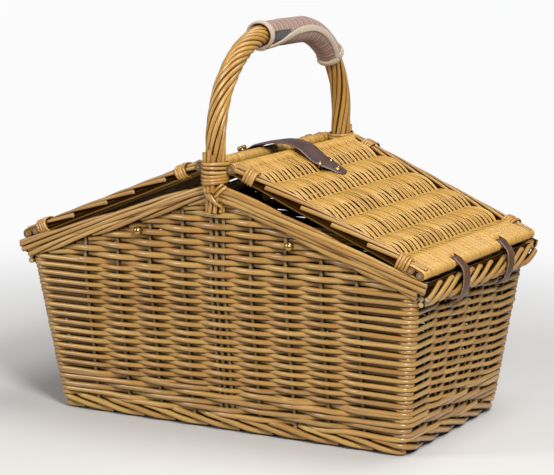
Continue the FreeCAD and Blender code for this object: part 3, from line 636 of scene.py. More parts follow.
# ---------------------------------------------------------------- base
base = Bag()
yss = np.linspace(-96, 96, 9)
for j, y in enumerate(yss):
    x = np.linspace(-200, 200, 40)
    P = np.stack([x, np.full(40, y) + smooth_noise(40, 9, 0.5), np.full(40, 11.0)], -1)
    tube(base, P, 3.5, 8)
for i, x in enumerate(np.arange(-192, 192.1, 5.2)):
    y = np.linspace(-107, 107, 62)
    n_ = ease(y, np.concatenate([[-120], yss, [120]]), np.array([(-1.0) ** (i + k) for k in range(11)])) * 3.6
    P = np.stack([x + smooth_noise(62, 8, 0.35), y, 11.0 + n_], -1)
    tube(base, P, 2.5 * (1 + smooth_noise(62, 9, 0.05)), 7, rz=2.7)
base.make("base_weaving", WALL, "basket", ("base_sticks", "base_weave"))


# ---------------------------------------------------------------- lids
def lid_pt(s, y, n, side):
    s = np.asarray(s, float); n = np.asarray(n, float)
    return np.stack([side * (RIDGE_X + s * CP + n * SP), np.broadcast_to(y, s.shape), RIDGE_Z - s * SP + n * CP], -1)


def lid_vec(us, uy, un, side):
    us = np.asarray(us, float)
    return np.stack([side * (us * CP + un * SP), np.broadcast_to(uy, us.shape), -us * SP + un * CP], -1)


def sm(a, b, x):
    t = np.clip((np.asarray(x, float) - a) / (b - a), 0, 1)
    return t * t * (3 - 2 * t)


H = 4.95
RI, RO = 5.4, 4.65


def strip_line(p, at_loop):
    """(s, n) points of one split strip of parity p."""
    pts = []
    if p == 0:
        pts += [(11, -5.0), (6, -5.3)] + [(RI * math.cos(math.radians(a)), RI * math.sin(math.radians(a))) for a in range(-90, -271, -20)] + [(5.5, 5.25)]
    else:
        pts += [(10, 4.3), (5, 5.2)] + [(RI * math.cos(math.radians(a)), RI * math.sin(math.radians(a))) for a in range(90, 271, 20)] + [(6, -5.2)]
    ks = [(0.0, 5.3 if p == 0 else -5.3)] + [(s, H * (1 if (j + p) % 2 == 0 else -1)) for j, s in enumerate(RIBS)]
    last = (S3, RO if p == 1 else -RO)
    ks.append(last)
    ks = np.array(ks)
    ss = np.arange(8.0, S3, 2.3)
    i = np.clip(np.searchsorted(ks[:, 0], ss) - 1, 0, len(ks) - 2)
    f = (ss - ks[i, 0]) / (ks[i + 1, 0] - ks[i, 0])
    # hugs each rib, straighter between
    g = np.clip((f - 0.06) / 0.88, 0, 1)
    g = g * g * (3 - 2 * g)
    nn = ks[i, 1] * (1 - g) + ks[i + 1, 1] * g
    pts += list(zip(ss, nn))
    e = 1 if p == 1 else -1
    end = S2 if at_loop else S1
    pts += [(s, e * RO) for s in ([S3 + 1, S2 - 3] if at_loop else [S3 + 1, S3 + 5, S2, S2 + 5])]
    pts += [(end + RO * math.cos(math.radians(a)), RO * math.sin(math.radians(a)) * e) for a in range(90, -91, -22)]
    back = [(end - 5, -e * RO)] + ([] if at_loop else [(S2, -e * RO)]) + [(S3 - 1, -e * (RO + 0.1)), (206.5, -e * 4.3)]
    pts += back
    return np.array(pts)


def strip_width(s, along):
    """Wide over and under the ribs, narrow where the two sets pass between each other."""
    w = np.full(len(s), 1.95)
    edges = [6.0, 40.0, 80.5, 121.5, 163.0, 198.5]
    for j in range(5):
        a, b = edges[j], edges[j + 1]
        m = (s >= a) & (s < b) & along
        ph = (s - a) / (b - a)
        if j == 0: sh = sm(0.0, 0.22, ph) * (1 - sm(0.62, 0.93, ph))
        else: sh = sm(0.06, 0.26, ph) * (1 - sm(0.52, 0.88, ph))
        w = np.where(m, 1.95 + 2.12 * sh, w)
    return w


for side, lid in ((1, "right"), (-1, "left")):
    wv = Bag(); st_ = Bag(); bd = Bag(); ls = Bag()
    K = 104
    yk = (np.arange(K) - (K - 1) / 2) * (258.0 / K)
    field = [rng.normal(0, 1, 40) for _ in range(5)]
    pair_end = rng.uniform(0.0, 1.0, (K // 2, 5)); pair_tone = rng.random(K // 2)
    for k in range(K):
        m2 = k // 2; p = m2 % 2; sd = -1 if k % 2 == 0 else 1
        yc = (yk[2 * m2] + yk[2 * m2 + 1]) / 2
        at_loop = min(abs(yc - 59), abs(yc + 59)) < 9.6
        L = strip_line(p, at_loop)
        s, n = L[:, 0].copy(), L[:, 1].copy()
        d = np.gradient(L, axis=0); d /= np.linalg.norm(d, axis=1)[:, None] + 1e-9
        along = np.zeros(len(s), bool)
        i0 = np.argmax((s > 7.5) & (np.arange(len(s)) > 10)); along[i0:] = True; along[np.argmax(s > 204):] = False
        # width of the pair: spread over a rib, bunched where it dips between its neighbours
        W = np.full(len(s), 4.0)
        edges = [6.0, 40.0, 80.5, 121.5, 163.0, 198.5]
        for j in range(5):
            a, b = edges[j], edges[j + 1]
            mm_ = (s >= a) & (s < b) & along
            ph = (s - a) / (b - a)
            low = 4.0 + 2.8 * pair_end[m2, j] ** 2
            up_ = sm(0.03, 0.24, ph); dn = sm(0.46, 0.66, ph)
            wj = 4.0 + 4.1 * up_ - (8.1 - low) * dn - (low - 4.0) * sm(0.82, 1.0, ph)
            W = np.where(mm_, wj, W)
        W = W * 64.0 / 52.0
        q = m2 * 40.0 / 52.0
        lat = np.zeros(len(s))
        for j, (a, b) in enumerate(zip([10, 38, 78, 119, 160], [42, 82, 123, 165, 200])):
            a_ = np.interp(q, np.arange(40), field[j]) * 0.9
            ph = np.clip((s - a) / (b - a), 0, 1)
            lat += np.where(along, a_ * np.sin(np.pi * ph) ** 2 * (1 - 0.5 * np.cos(ph * 3)), 0)
        lat += np.where(along, smooth_noise(len(s), 14, 0.10), 0)
        y = np.clip(yc + lat + sd * W * 0.245, -129.8, 129.8)
        lift_ = (0.14 if (sd > 0) else -0.06)
        P = lid_pt(s, 0, n, side); P[:, 1] = y
        U = lid_vec(-d[:, 1], 0, d[:, 0], side)
        P = P + U * lift_ * np.where(along, 1, 0)[:, None] * np.sign(n + 1e-6)[:, None]
        U = U + np.array([0, 1.0, 0]) * rng.normal(0, 0.07)
        flat(wv, P, U, W * 0.53, np.full(len(s), 1.15), crown=0.28, rnd=float(np.clip(pair_tone[m2] + rng.normal(0, 0.05), 0, 1)))
    # wraps beyond the panel: over the outer sticks at both ends, and round the inner stick
    for sy in (-1, 1):
        for j in range(8):
            y0 = sy * (130.4 + 2.08 * j)
            a = list(np.radians(np.arange(90, -91, -20)))
            L = [(S3 - 5.0, 3.6), (S3 - 1, 4.7), (S2, RO), (S1 - 3, RO)] + [(S1 + RO * math.cos(x), RO * math.sin(x)) for x in a] + [(S2, -RO), (S3, -RO), (S3 - 4.8, -3.4)]
            L = np.array(L); d = np.gradient(L, axis=0); d /= np.linalg.norm(d, axis=1)[:, None]
            P = lid_pt(L[:, 0], 0, L[:, 1], side); P[:, 1] = y0 + smooth_noise(len(L), 5, 0.12)
            flat(wv, P, lid_vec(-d[:, 1], 0, d[:, 0], side), 2.15, 1.15, crown=0.3)
        for j in range(5):
            a = np.linspace(-0.6, 2 * np.pi - 0.6, 22)
            P = lid_pt(5.35 * np.cos(a), 0, 5.35 * np.sin(a), side); P[:, 1] = sy * (131.0 + 2.9 * j) + 1.3 * a / 6.28
            flat(wv, P, lid_vec(np.cos(a), 0, np.sin(a), side), 2.9, 1.1, crown=0.4)
    wv.make(lid + "_lid_strips", SPLIT, lid + "_lid", (lid + "_lid_weave",))
    for s_, r_, half in [(0.0, 4.75, 146)] + [(S1, 4.0, 146), (S2, 4.0, 146), (S3, 4.0, 146)] + [(s, 4.25, 129) for s in RIBS]:
        n_ = 60
        yy = np.linspace(-half, half, n_)
        P = lid_pt(np.full(n_, s_), 0, np.zeros(n_), side); P[:, 1] = yy
        P += lid_vec(smooth_noise(n_, 10, 0.12), 0, smooth_noise(n_, 10, 0.12), side)
        tube(st_, P, r_ * (1 + smooth_noise(n_, 8, 0.012)), 14)
    st_.make(lid + "_lid_sticks", HANDLE, lid + "_lid", (lid + "_lid_inner_stick", lid + "_lid_outer_sticks", lid + "_lid_ribs"))
    for sy in (-1, 1):
        # rods laid along the edge: each shows its cut butt on the outside, then climbs over towards the weave
        for j, s0 in enumerate(np.arange(-78, 236, 41.0)):
            s0 = s0 + rng.uniform(-3, 3); ln = 132 * rng.uniform(0.94, 1.06)
            a, b = max(s0, 1.8), min(s0 + ln, S1 + 1.5)
            if b - a < 16: continue
            n_ = max(int((b - a) / 4), 6)
            s = np.linspace(a, b, n_); f = (s - s0) / ln
            ang = np.radians(8 + 152 * f)
            k_ = 1.0 + 0.10 * (1 - sm(0.0, 0.12, f)) - 0.45 * sm(0.86, 1.0, f)
            y = sy * (136.8 + np.cos(ang) * 5.6 * k_) ; n = 0.3 + np.sin(ang) * 5.2 * k_
            P = lid_pt(s, 0, n, side); P[:, 1] = y + smooth_noise(n_, 8, 0.2)
            tube(bd, P, 2.3 * np.linspace(1.08, 0.86, n_) * (1 + smooth_noise(n_, 8, 0.04)), 10, out=np.array([0.0, sy, 0.0]) * np.cos(ang)[:, None] + lid_vec(np.zeros(n_), 0, np.sin(ang), side))
        for y0, n0, r_ in ((133.4, -1.6, 2.9), (138.4, -2.8, 2.9), (136.6, 1.2, 2.9), (141.2, -3.2, 2.4), (135.8, -5.2, 2.5), (130.6, -4.6, 2.5)):
            n_ = 50; s = np.linspace(3, S1 - 1, n_)
            P = lid_pt(s, 0, np.full(n_, n0) + smooth_noise(n_, 9, 0.25), side); P[:, 1] = sy * y0 + smooth_noise(n_, 9, 0.25)
            tube(bd, P, r_, 8, out=(0, 0, -1))
        # corner lashings
        for s0, turns in ((15.2, 4), (203.6, 4)):
            for t_ in range(turns):
                a = np.linspace(0, 2 * np.pi, 36, endpoint=False)
                ca, sa = np.cos(a), np.sin(a)
                ex = 0.82
                yy = 8.5 * np.sign(ca) * np.abs(ca) ** ex; nn = 6.9 * np.sign(sa) * np.abs(sa) ** ex
                tw = rng.uniform(-0.5, 0.5)
                s = s0 + 3.3 * t_ + 1.2 + (2.4 + tw) * ca * 0.8 + 0.5 * sa
                P = lid_pt(s, 0, 1.3 + nn + 0.35 * (t_ % 2), side); P[:, 1] = sy * (137.3 + yy * (1 + 0.02 * t_))
                tube(ls, P, 1.85 * rng.uniform(0.93, 1.07), 8, closed=True, out=np.array([0, sy, 0.0]) * ca[:, None] + lid_vec(np.zeros(36), 0, sa, side))
            # the lashing rod's tail
            s = np.linspace(s0 + 2, s0 + 15, 10); P = lid_pt(s, 0, 8.2 - 0.10 * (s - s0), side); P[:, 1] = sy * (131.5 + 0.42 * (s - s0))
            tube(ls, P, 1.7, 8)
    bd.make(lid + "_lid_edge_rods", BORDER, lid + "_lid", (lid + "_lid_side_bundles",))
    ls.make(lid + "_lid_lashing_turns", HANDLE, lid + "_lid", (lid + "_lid_lashings",))

# ---------------------------------------------------------------- handle
P1, P2 = (HOOP_Y, 345.0), (92.0, HOOP_TOP)
R1_, R2_ = 95.0, 110.0
run = math.hypot(P2[0] - P1[0], P2[1] - P1[1]); ux, uz = (P2[0] - P1[0]) / run, (P2[1] - P1[1]) / run
turn1 = math.acos(uz); turn2 = math.pi / 2 - turn1
t1 = R1_ * math.tan(turn1 / 2); t2 = R2_ * math.tan(turn2 / 2)
C1 = (HOOP_Y - R1_, P1[1] - t1); C2 = (P2[0] - t2, HOOP_TOP - R2_)


def hoop_line(z0=240.0):
    half = [(HOOP_Y, z) for z in np.linspace(z0, C1[1], 30)]
    half += [(C1[0] + R1_ * math.cos(a), C1[1] + R1_ * math.sin(a)) for a in np.linspace(0, turn1, 16)[1:]]
    half += [(C2[0] + R2_ * math.cos(a), C2[1] + R2_ * math.sin(a)) for a in np.linspace(turn1, math.pi / 2, 30)]
    half += [(y, HOOP_TOP) for y in np.linspace(C2[0], 0, 12)[1:]]
    a = np.array(half); front = np.stack([-a[:, 0], a[:, 1]], -1); backh = a[::-1][1:]
    q = np.vstack([front, backh])
    d = np.concatenate([[0], np.cumsum(np.linalg.norm(np.diff(q, axis=0), axis=1))])
    s = np.arange(0, d[-1], 2.5)
    return np.stack([np.interp(s, d, q[:, 0]), np.interp(s, d, q[:, 1])], -1), s


HQ, HS = hoop_line()
from_smooth = np.ones(9) / 9
for c in range(2):
    pad = np.concatenate([np.full(4, HQ[0, c]), HQ[:, c], np.full(4, HQ[-1, c])])
    inner_ = np.convolve(pad, from_smooth, "valid")
    HQ[10:-10, c] = inner_[10:-10]
HT = np.gradient(HQ, axis=0); HT /= np.linalg.norm(HT, axis=1)[:, None]


def hoop_at(s, phi, r):
    """Point at arc length s, angle phi round the section (0 outward, 90 deg towards +x), distance r."""
    y = np.interp(s, HS, HQ[:, 0]); z = np.interp(s, HS, HQ[:, 1])
    ty = np.interp(s, HS, HT[:, 0]); tz = np.interp(s, HS, HT[:, 1])
    l = np.hypot(ty, tz); ty, tz = ty / l, tz / l
    c, d = np.cos(phi) * r, np.sin(phi) * r
    return np.stack([d, y - c * tz, z + c * ty], -1)


def s_of_y(y):
    return float(np.interp(y, HQ[25:-25, 0], HS[25:-25]))


han = Bag()
LTOT = HS[-1]; f_ = HS / LTOT
beta = np.radians(np.interp(f_, [0, .10, .22, .33, .42, .62, .8, 1], [7, 11, 18, 27, 28, 10, 9, 7]))
NR = 10
theta = np.cumsum(np.tan(beta) / 8.2) * 2.5 + 0.4
for k in range(NR):
    th = theta + 2 * np.pi * k / NR + smooth_noise(len(HS), 30, 0.03)
    rad = 8.25 + smooth_noise(len(HS), 20, 0.14)
    P = hoop_at(HS, th, rad)
    C0 = hoop_at(HS, th, 0.001)
    tube(han, P, 2.52 * (1 + smooth_noise(len(HS), 14, 0.03)) * rng.uniform(0.94, 1.04), 10, out=P - C0)
han.make("handle_rods", HANDLE, "basket", ("handle_wrap",))

col = Bag()
for sy in (-1, 1):
    a = np.linspace(0, 2 * np.pi, 56, endpoint=False)
    outw = np.clip(np.sin(a), 0, 1)
    for j, z_ in enumerate(np.linspace(271.6, 290.6, 6)):
        Rr = 12.7 + 5.6 * outw ** 4
        tilt_ = 0.9 * np.cos(a + j)
        P = np.stack([Rr * np.cos(a) * (1 - 0.1 * outw ** 4), sy * (HOOP_Y + Rr * np.sin(a)), z_ + tilt_ + rng.uniform(-.3, .3)], -1)
        P = P if sy > 0 else P[::-1]
        tube(col, P, 1.95 * rng.uniform(.95, 1.06), 8, closed=True, out=(P - np.array([0, sy * HOOP_Y, z_])) * np.array([1, 1, 0]))
    # pegs
    for x, h in ((-4.9, 303), (-0.2, 306), (4.4, 300.5)):
        n_ = 14; z_ = np.linspace(262, h, n_)
        P = np.stack([np.full(n_, x) + (z_ - 285) * 0.02 * np.sign(x + 0.5), np.full(n_, sy * 157.0), z_], -1)
        tube(col, P, 2.3, 10)
col.make("handle_collar_turns", HANDLE, "basket", ("handle_collars", "handle_pegs"))

bnd = Bag()
for sy in (-1, 1):
    for j in range(3):
        n_ = 26; t = np.linspace(-1, 1, n_)
        x = -3.2 + 3.3 * j + 7.2 * t; z_ = 258.5 - 1.5 * j - 9.5 * t + 1.2 * t * t
        y = sy * (153.6 + 1.6 * (1 - t * t) - 4.5 * np.abs(t) ** 3)
        P = np.stack([x, y, z_], -1)
        flat(bnd, P, (0, sy, 0), 4.3, 2.4, crown=0.5)
    for j in range(2):
        n_ = 26; t = np.linspace(-1, 1, n_)
        x = 3.5 + 3.6 * j - 8.0 * t; z_ = 262.0 - 3.0 * j - 8.5 * t
        y = sy * (151.9 + 1.0 * (1 - t * t) - 4.5 * np.abs(t) ** 3)
        P = np.stack([x, y, z_], -1)
        flat(bnd, P, (0, sy, 0), 3.8, 2.0, crown=0.5)
bnd.make("peak_bindings", HANDLE, "basket", ("gable_bindings",))


# ---------------------------------------------------------------- fabric grip
def cloth(name, kind):
    m, nt, b = new_mat(name)
    at = N(nt, "ShaderNodeAttribute"); at.attribute_name = "wp"
    sep = N(nt, "ShaderNodeSeparateXYZ"); nt.links.new(at.outputs["Vector"], sep.inputs[0])
    u, v, r = sep.outputs                     # u along the handle (mm), v round it (mm)
    cv = N(nt, "ShaderNodeCombineXYZ"); nt.links.new(u, cv.inputs[0]); nt.links.new(v, cv.inputs[1]); nt.links.new(r, cv.inputs[2])
    thr_u = math_(nt, "SINE", math_(nt, "MULTIPLY", u, 6.28318 / 0.62))
    thr_v = math_(nt, "SINE", math_(nt, "MULTIPLY", v, 6.28318 / 0.62))
    weave = math_(nt, "MULTIPLY", thr_u, thr_v)
    wob = noise(nt, cv.outputs[0], 0.35, 2.0)
    fine = noise(nt, cv.outputs[0], 3.5, 3.0)
    if kind == "stripe":
        uu = math_(nt, "ADD", u, math_(nt, "MULTIPLY", math_(nt, "SUBTRACT", wob, 0.5), 1.3))
        f = math_(nt, "FRACT", math_(nt, "DIVIDE", uu, 11.6))
        col = ramp(nt, f, [(0.0, (0.20, 0.105, 0.075)), (0.055, (0.30, 0.165, 0.125)), (0.12, (0.36, 0.20, 0.155)), (0.17, (0.62, 0.43, 0.34)),
                           (0.205, (0.33, 0.18, 0.14)), (0.29, (0.26, 0.135, 0.10)), (0.33, (0.09, 0.045, 0.035)), (0.37, (0.30, 0.165, 0.125)),
                           (0.47, (0.40, 0.235, 0.185)), (0.53, (0.14, 0.07, 0.05)), (0.57, (0.30, 0.16, 0.12)), (0.66, (0.70, 0.52, 0.43)),
                           (0.71, (0.36, 0.20, 0.155)), (0.80, (0.24, 0.125, 0.095)), (0.86, (0.42, 0.25, 0.20)), (0.93, (0.10, 0.05, 0.04))])
        col = mix(nt, math_(nt, "MULTIPLY", math_(nt, "SUBTRACT", fine, 0.42), 1.6, clamp=True), col, mix(nt, 0.5, col, (0.62, 0.46, 0.38)))
    elif kind == "binding":
        tw = math_(nt, "SINE", math_(nt, "MULTIPLY", math_(nt, "ADD", u, math_(nt, "MULTIPLY", v, 1.0)), 6.28318 / 0.9))
        col = mix(nt, math_(nt, "MULTIPLY", math_(nt, "ADD", tw, 1.0), 0.32), (0.56, 0.45, 0.325), (0.40, 0.30, 0.20))
        col = mix(nt, math_(nt, "MULTIPLY", wob, 0.5), col, (0.64, 0.54, 0.42))
    else:
        hk = N(nt, "ShaderNodeTexVoronoi"); hk.inputs["Scale"].default_value = 1.15; nt.links.new(cv.outputs[0], hk.inputs["Vector"])
        col = ramp(nt, hk.outputs["Distance"], [(0.0, (0.055, 0.055, 0.06)), (0.35, (0.022, 0.022, 0.024)), (0.7, (0.006, 0.006, 0.007))])
    col = mix(nt, math_(nt, "MULTIPLY", math_(nt, "ADD", weave, 1.0), 0.13), col, (0.02, 0.012, 0.01))
    nt.links.new(col, b.inputs["Base Color"])
    b.inputs["Sheen Weight"].default_value = 0.25; b.inputs["Sheen Roughness"].default_value = 0.5
    nt.links.new(math_(nt, "ADD", 0.78, math_(nt, "MULTIPLY", fine, 0.15)), b.inputs["Roughness"])
    b.inputs["Specular IOR Level"].default_value = 0.2
    bp = N(nt, "ShaderNodeBump"); bp.inputs["Strength"].default_value = 0.5; bp.inputs["Distance"].default_value = 0.0003
    h = math_(nt, "ADD", math_(nt, "MULTIPLY", weave, 0.5), math_(nt, "MULTIPLY", fine, 0.7))
    nt.links.new(h, bp.inputs["Height"]); nt.links.new(bp.outputs[0], b.inputs["Normal"])
    return m


STRIPE, BINDING, HOOKS = cloth("grip_stripe_cloth", "stripe"), cloth("grip_binding_cloth", "binding"), cloth("hook_tape_cloth", "hooks")


def shell_patch(bag, s, ph_a, ph_b, r_in, r_out, m=40, rnd=0.0, slant=0.0, edge=1.0, closed=False):
    """Padded cloth round the handle between two angles, thick from r_in to r_out, closed at its edges."""
    n = len(s); ph_a = np.broadcast_to(ph_a, (n,)); ph_b = np.broadcast_to(ph_b, (n,))
    t = np.linspace(0, 1, m)
    PH = ph_a[:, None] * (1 - t) + ph_b[:, None] * t
    r_in = np.broadcast_to(r_in, (n, m)); r_out = np.broadcast_to(r_out, (n, m)).copy()
    mid = (r_in + r_out) / 2
    # rounds off towards all four edges
    ev = np.minimum(np.arange(n), n - 1 - np.arange(n)); fv = np.sqrt(np.clip(ev / 2.0, 0, 1))
    eh = np.minimum(np.arange(m), m - 1 - np.arange(m)); fh = np.ones(m) if closed else np.sqrt(np.clip(eh / 2.0, 0, 1))
    k = fv[:, None] * fh[None, :]
    o = mid + (r_out - mid) * (k * edge + (1 - edge)); i_ = mid + (r_in - mid) * (k * edge + (1 - edge))
    S = np.repeat(s[:, None], m, 1)
    Vo = hoop_at(S.ravel(), PH.ravel(), o.ravel()); Vi = hoop_at(S.ravel(), PH.ravel(), i_.ravel())
    V = np.vstack([Vo, Vi])
    wp = np.stack([S.ravel() + slant * PH.ravel() * 14, PH.ravel() * 14.0, np.full(n * m, rnd)], -1)
    a = np.arange(n - 1)[:, None]; b = np.arange(m - 1)[None, :]
    q = np.stack([a * m + b, a * m + b + 1, (a + 1) * m + b + 1, (a + 1) * m + b], -1).reshape(-1, 4)
    Q = [q, q[:, ::-1] + n * m]
    def rim(idx): return np.stack([idx[:-1], idx[:-1] + n * m, idx[1:] + n * m, idx[1:]], -1)
    Q.append(rim(np.arange(m)[::-1])); Q.append(rim((n - 1) * m + np.arange(m)))
    Q.append(rim(np.arange(n) * m)); Q.append(rim((np.arange(n) * m + m - 1)[::-1]))
    bag.add(V, np.concatenate(Q), np.zeros((0, 3), int), np.vstack([wp, wp]), np.zeros(len(V)))


def smooth2(n, m, a, b, amp):
    g = rng.normal(0, 1, (int(n / a) + 3, int(m / b) + 3))
    x = np.linspace(0, g.shape[0] - 2.01, n); y = np.linspace(0, g.shape[1] - 2.01, m)
    i, j = x.astype(int), y.astype(int); f, h = x - i, y - j
    f = (f * f * (3 - 2 * f))[:, None]; h = (h * h * (3 - 2 * h))[None, :]
    A, B, C, D = g[np.ix_(i, j)], g[np.ix_(i, j + 1)], g[np.ix_(i + 1, j)], g[np.ix_(i + 1, j + 1)]
    return amp * ((A * (1 - h) + B * h) * (1 - f) + (C * (1 - h) + D * h) * f)


rad = math.radians
GRIP_A, GRIP_B = -51.0, 44.6      # front end along Y, back end as an angle on the back shoulder (deg)


def s_of_deg(d):
    y, z = C2[0] + R2_ * math.cos(rad(d)), C2[1] + R2_ * math.sin(rad(d))
    return float(HS[np.argmin((HQ[:, 0] - y) ** 2 + (HQ[:, 1] - z) ** 2)])


SA, SB = s_of_y(GRIP_A), s_of_deg(GRIP_B)
gr_ = Bag()
s = np.linspace(SA, SB, 96); v_ = (s - SA) / (SB - SA)
m_ = 72
ro = 13.3 + smooth2(96, m_, 9, 10, 0.22) + 0.35 * np.sin(np.pi * v_)[:, None]
shell_patch(gr_, s, -math.pi + 0.3, math.pi + 0.3, 11.3, ro, m=m_, rnd=0.1)
# the lower flap, lapped up over the front
phe = np.radians(np.interp(v_, [0, .06, .13, .20, .28, .36, .48, .62, .76, .88, 1.0], [156, 148, 132, 114, 98, 88, 84, 86, 92, 104, 122]))
phe = np.convolve(np.concatenate([np.full(4, phe[0]), phe, np.full(4, phe[-1])]), np.ones(9) / 9, "valid")
r2 = 14.9 + smooth2(96, 44, 9, 9, 0.25)
lift = 0.9 * np.exp(-((v_ - 0.13) / 0.12) ** 2)[:, None] * np.linspace(1, 0, 44)[None, :] ** 2
shell_patch(gr_, s, phe, np.full(96, rad(222)), 13.5 + lift, r2 + lift, m=44, rnd=0.4, slant=0.22)
g = gr_.make("grip_cover", STRIPE, "basket", ("grip_sleeve",))

bi = Bag()


def binding(s, ph, r, half=3.5, thick=1.25, rnd=0.0):
    """Folded tape sewn over an edge: a flat tube along the edge line."""
    C = hoop_at(s, ph, r)
    Un = hoop_at(s, ph, np.asarray(r) + 1.0) - C
    T = np.gradient(C, axis=0); T /= np.linalg.norm(T, axis=1)[:, None]
    U = Un - (Un * T).sum(1)[:, None] * T; U /= np.linalg.norm(U, axis=1)[:, None]
    W = np.cross(T, U)
    k = 16; a = np.linspace(0, 2 * np.pi, k, endpoint=False)
    ca, sa = np.cos(a), np.sin(a)
    yy = np.sign(ca) * np.abs(ca) ** 0.75 * half; zz = np.sign(sa) * np.abs(sa) ** 0.8 * thick
    n = len(C)
    wob = (1 + smooth_noise(n, 7, 0.05))[:, None]
    V = C[:, None, :] + W[:, None, :] * (yy[None, :] * wob)[:, :, None] + U[:, None, :] * (zz[None, :] * wob)[:, :, None]
    # length along the edge and the place across the tape go into wp for the cloth pattern
    L = np.concatenate([[0], np.cumsum(np.linalg.norm(np.diff(C, axis=0), axis=1))])
    wp = np.zeros((n, k, 3)); wp[:, :, 0] = L[:, None]; wp[:, :, 1] = yy[None, :]; wp[:, :, 2] = rnd
    i = np.arange(n - 1)[:, None]; j = np.arange(k)[None, :]; j2 = (j + 1) % k
    Q = np.stack([i * k + j, i * k + j2, (i + 1) * k + j2, (i + 1) * k + j], -1).reshape(-1, 4)
    t0 = np.array([[0, q, q + 1] for q in range(1, k - 1)])
    bi.add(V.reshape(-1, 3), Q, np.vstack([t0[:, ::-1], t0 + (n - 1) * k]), wp.reshape(-1, 3), np.zeros(n * k))


binding(s[1:-1], phe[1:-1], 15.0 + lift[1:-1, 0], 3.5, 1.3, 0.1)
for sE, rr_, sg in ((SA + 1.5, 14.1, -1), (SB - 1.5, 14.0, 1)):
    ph = np.linspace(-math.pi * 0.9, rad(206), 60)
    binding(np.full(60, sE) + 0.5 * np.sin(ph * 2) + smooth_noise(60, 9, 0.25), ph, rr_ + 0.5 * np.clip(np.sin(ph), 0, 1) + smooth_noise(60, 9, 0.15), 4.0, 1.5, 0.5)
    ph = np.linspace(phe[0] if sg < 0 else phe[-1], rad(222), 14)
    binding(np.full(14, sE + (-0.6 if sg < 0 else 0.6)), ph, 15.8, 3.2, 1.2, 0.8)
bo = bi.make("grip_binding", BINDING, "basket", ("grip_piping",))
hk_ = Bag()
sp_ = np.linspace(s_of_y(-42), s_of_y(-6), 30)
shell_patch(hk_, sp_, rad(76), rad(124), 13.6, np.full((30, 24), 14.35), m=24)
ho = hk_.make("grip_hook_tape", HOOKS, "basket", ("grip_patch",))


# ---------------------------------------------------------------- leather
def leather(name, tones):
    m, nt, b = new_mat(name)
    at = N(nt, "ShaderNodeAttribute"); at.attribute_name = "wp"
    sep = N(nt, "ShaderNodeSeparateXYZ"); nt.links.new(at.outputs["Vector"], sep.inputs[0])
    u, v, r = sep.outputs                     # length (mm), across -1..1, side (1 outer face, 0 under)
    tc = N(nt, "ShaderNodeTexCoord")
    mp = N(nt, "ShaderNodeVectorMath"); mp.operation = "SCALE"; mp.inputs["Scale"].default_value = 1000.0
    nt.links.new(tc.outputs["Object"], mp.inputs[0])
    big = noise(nt, mp.outputs[0], 0.05, 3.0); med = noise(nt, mp.outputs[0], 0.35, 4.0, 0.65)
    vor = N(nt, "ShaderNodeTexVoronoi"); vor.feature = "DISTANCE_TO_EDGE"; vor.inputs["Scale"].default_value = 1.1
    nt.links.new(mp.outputs[0], vor.inputs["Vector"])
    grain = ramp(nt, vor.outputs["Distance"], [(0.0, (0, 0, 0)), (0.16, (1, 1, 1))])
    col = ramp(nt, big, [(0.32, tones[0]), (0.52, tones[1]), (0.70, tones[2])])
    col = mix(nt, math_(nt, "MULTIPLY", math_(nt, "SUBTRACT", med, 0.45), 1.4, clamp=True), col, tones[0])
    edge = ramp(nt, math_(nt, "ABSOLUTE", v), [(0.86, (0, 0, 0)), (0.95, (1, 1, 1))])
    col = mix(nt, math_(nt, "MULTIPLY", edge, 0.55), col, tones[3])
    # painted shade: the underside of the band is darkened nearly to black
    col = mix(nt, math_(nt, "MULTIPLY", math_(nt, "SUBTRACT", 1.0, r), 0.75), col, (0.030, 0.016, 0.012))
    col = mix(nt, math_(nt, "MULTIPLY", math_(nt, "SUBTRACT", 1.0, grain), 0.25), col, (0.02, 0.01, 0.008))
    nt.links.new(col, b.inputs["Base Color"])
    nt.links.new(math_(nt, "ADD", 0.27, math_(nt, "MULTIPLY", med, 0.28)), b.inputs["Roughness"])
    b.inputs["Specular IOR Level"].default_value = 0.55
    b.inputs["Coat Weight"].default_value = 0.12; b.inputs["Coat Roughness"].default_value = 0.35
    bp = N(nt, "ShaderNodeBump"); bp.inputs["Strength"].default_value = 0.22; bp.inputs["Distance"].default_value = 0.0003
    h = math_(nt, "ADD", math_(nt, "MULTIPLY", grain, 0.5), math_(nt, "MULTIPLY", med, 0.9))
    nt.links.new(h, bp.inputs["Height"]); nt.links.new(bp.outputs[0], b.inputs["Normal"])
    return m


LEATHER = leather("strap_leather", [(0.050, 0.024, 0.021), (0.082, 0.042, 0.037), (0.115, 0.062, 0.054), (0.17, 0.095, 0.075)])
LOOPL = leather("loop_leather", [(0.060, 0.022, 0.010), (0.10, 0.040, 0.018), (0.15, 0.065, 0.03), (0.23, 0.12, 0.06)])


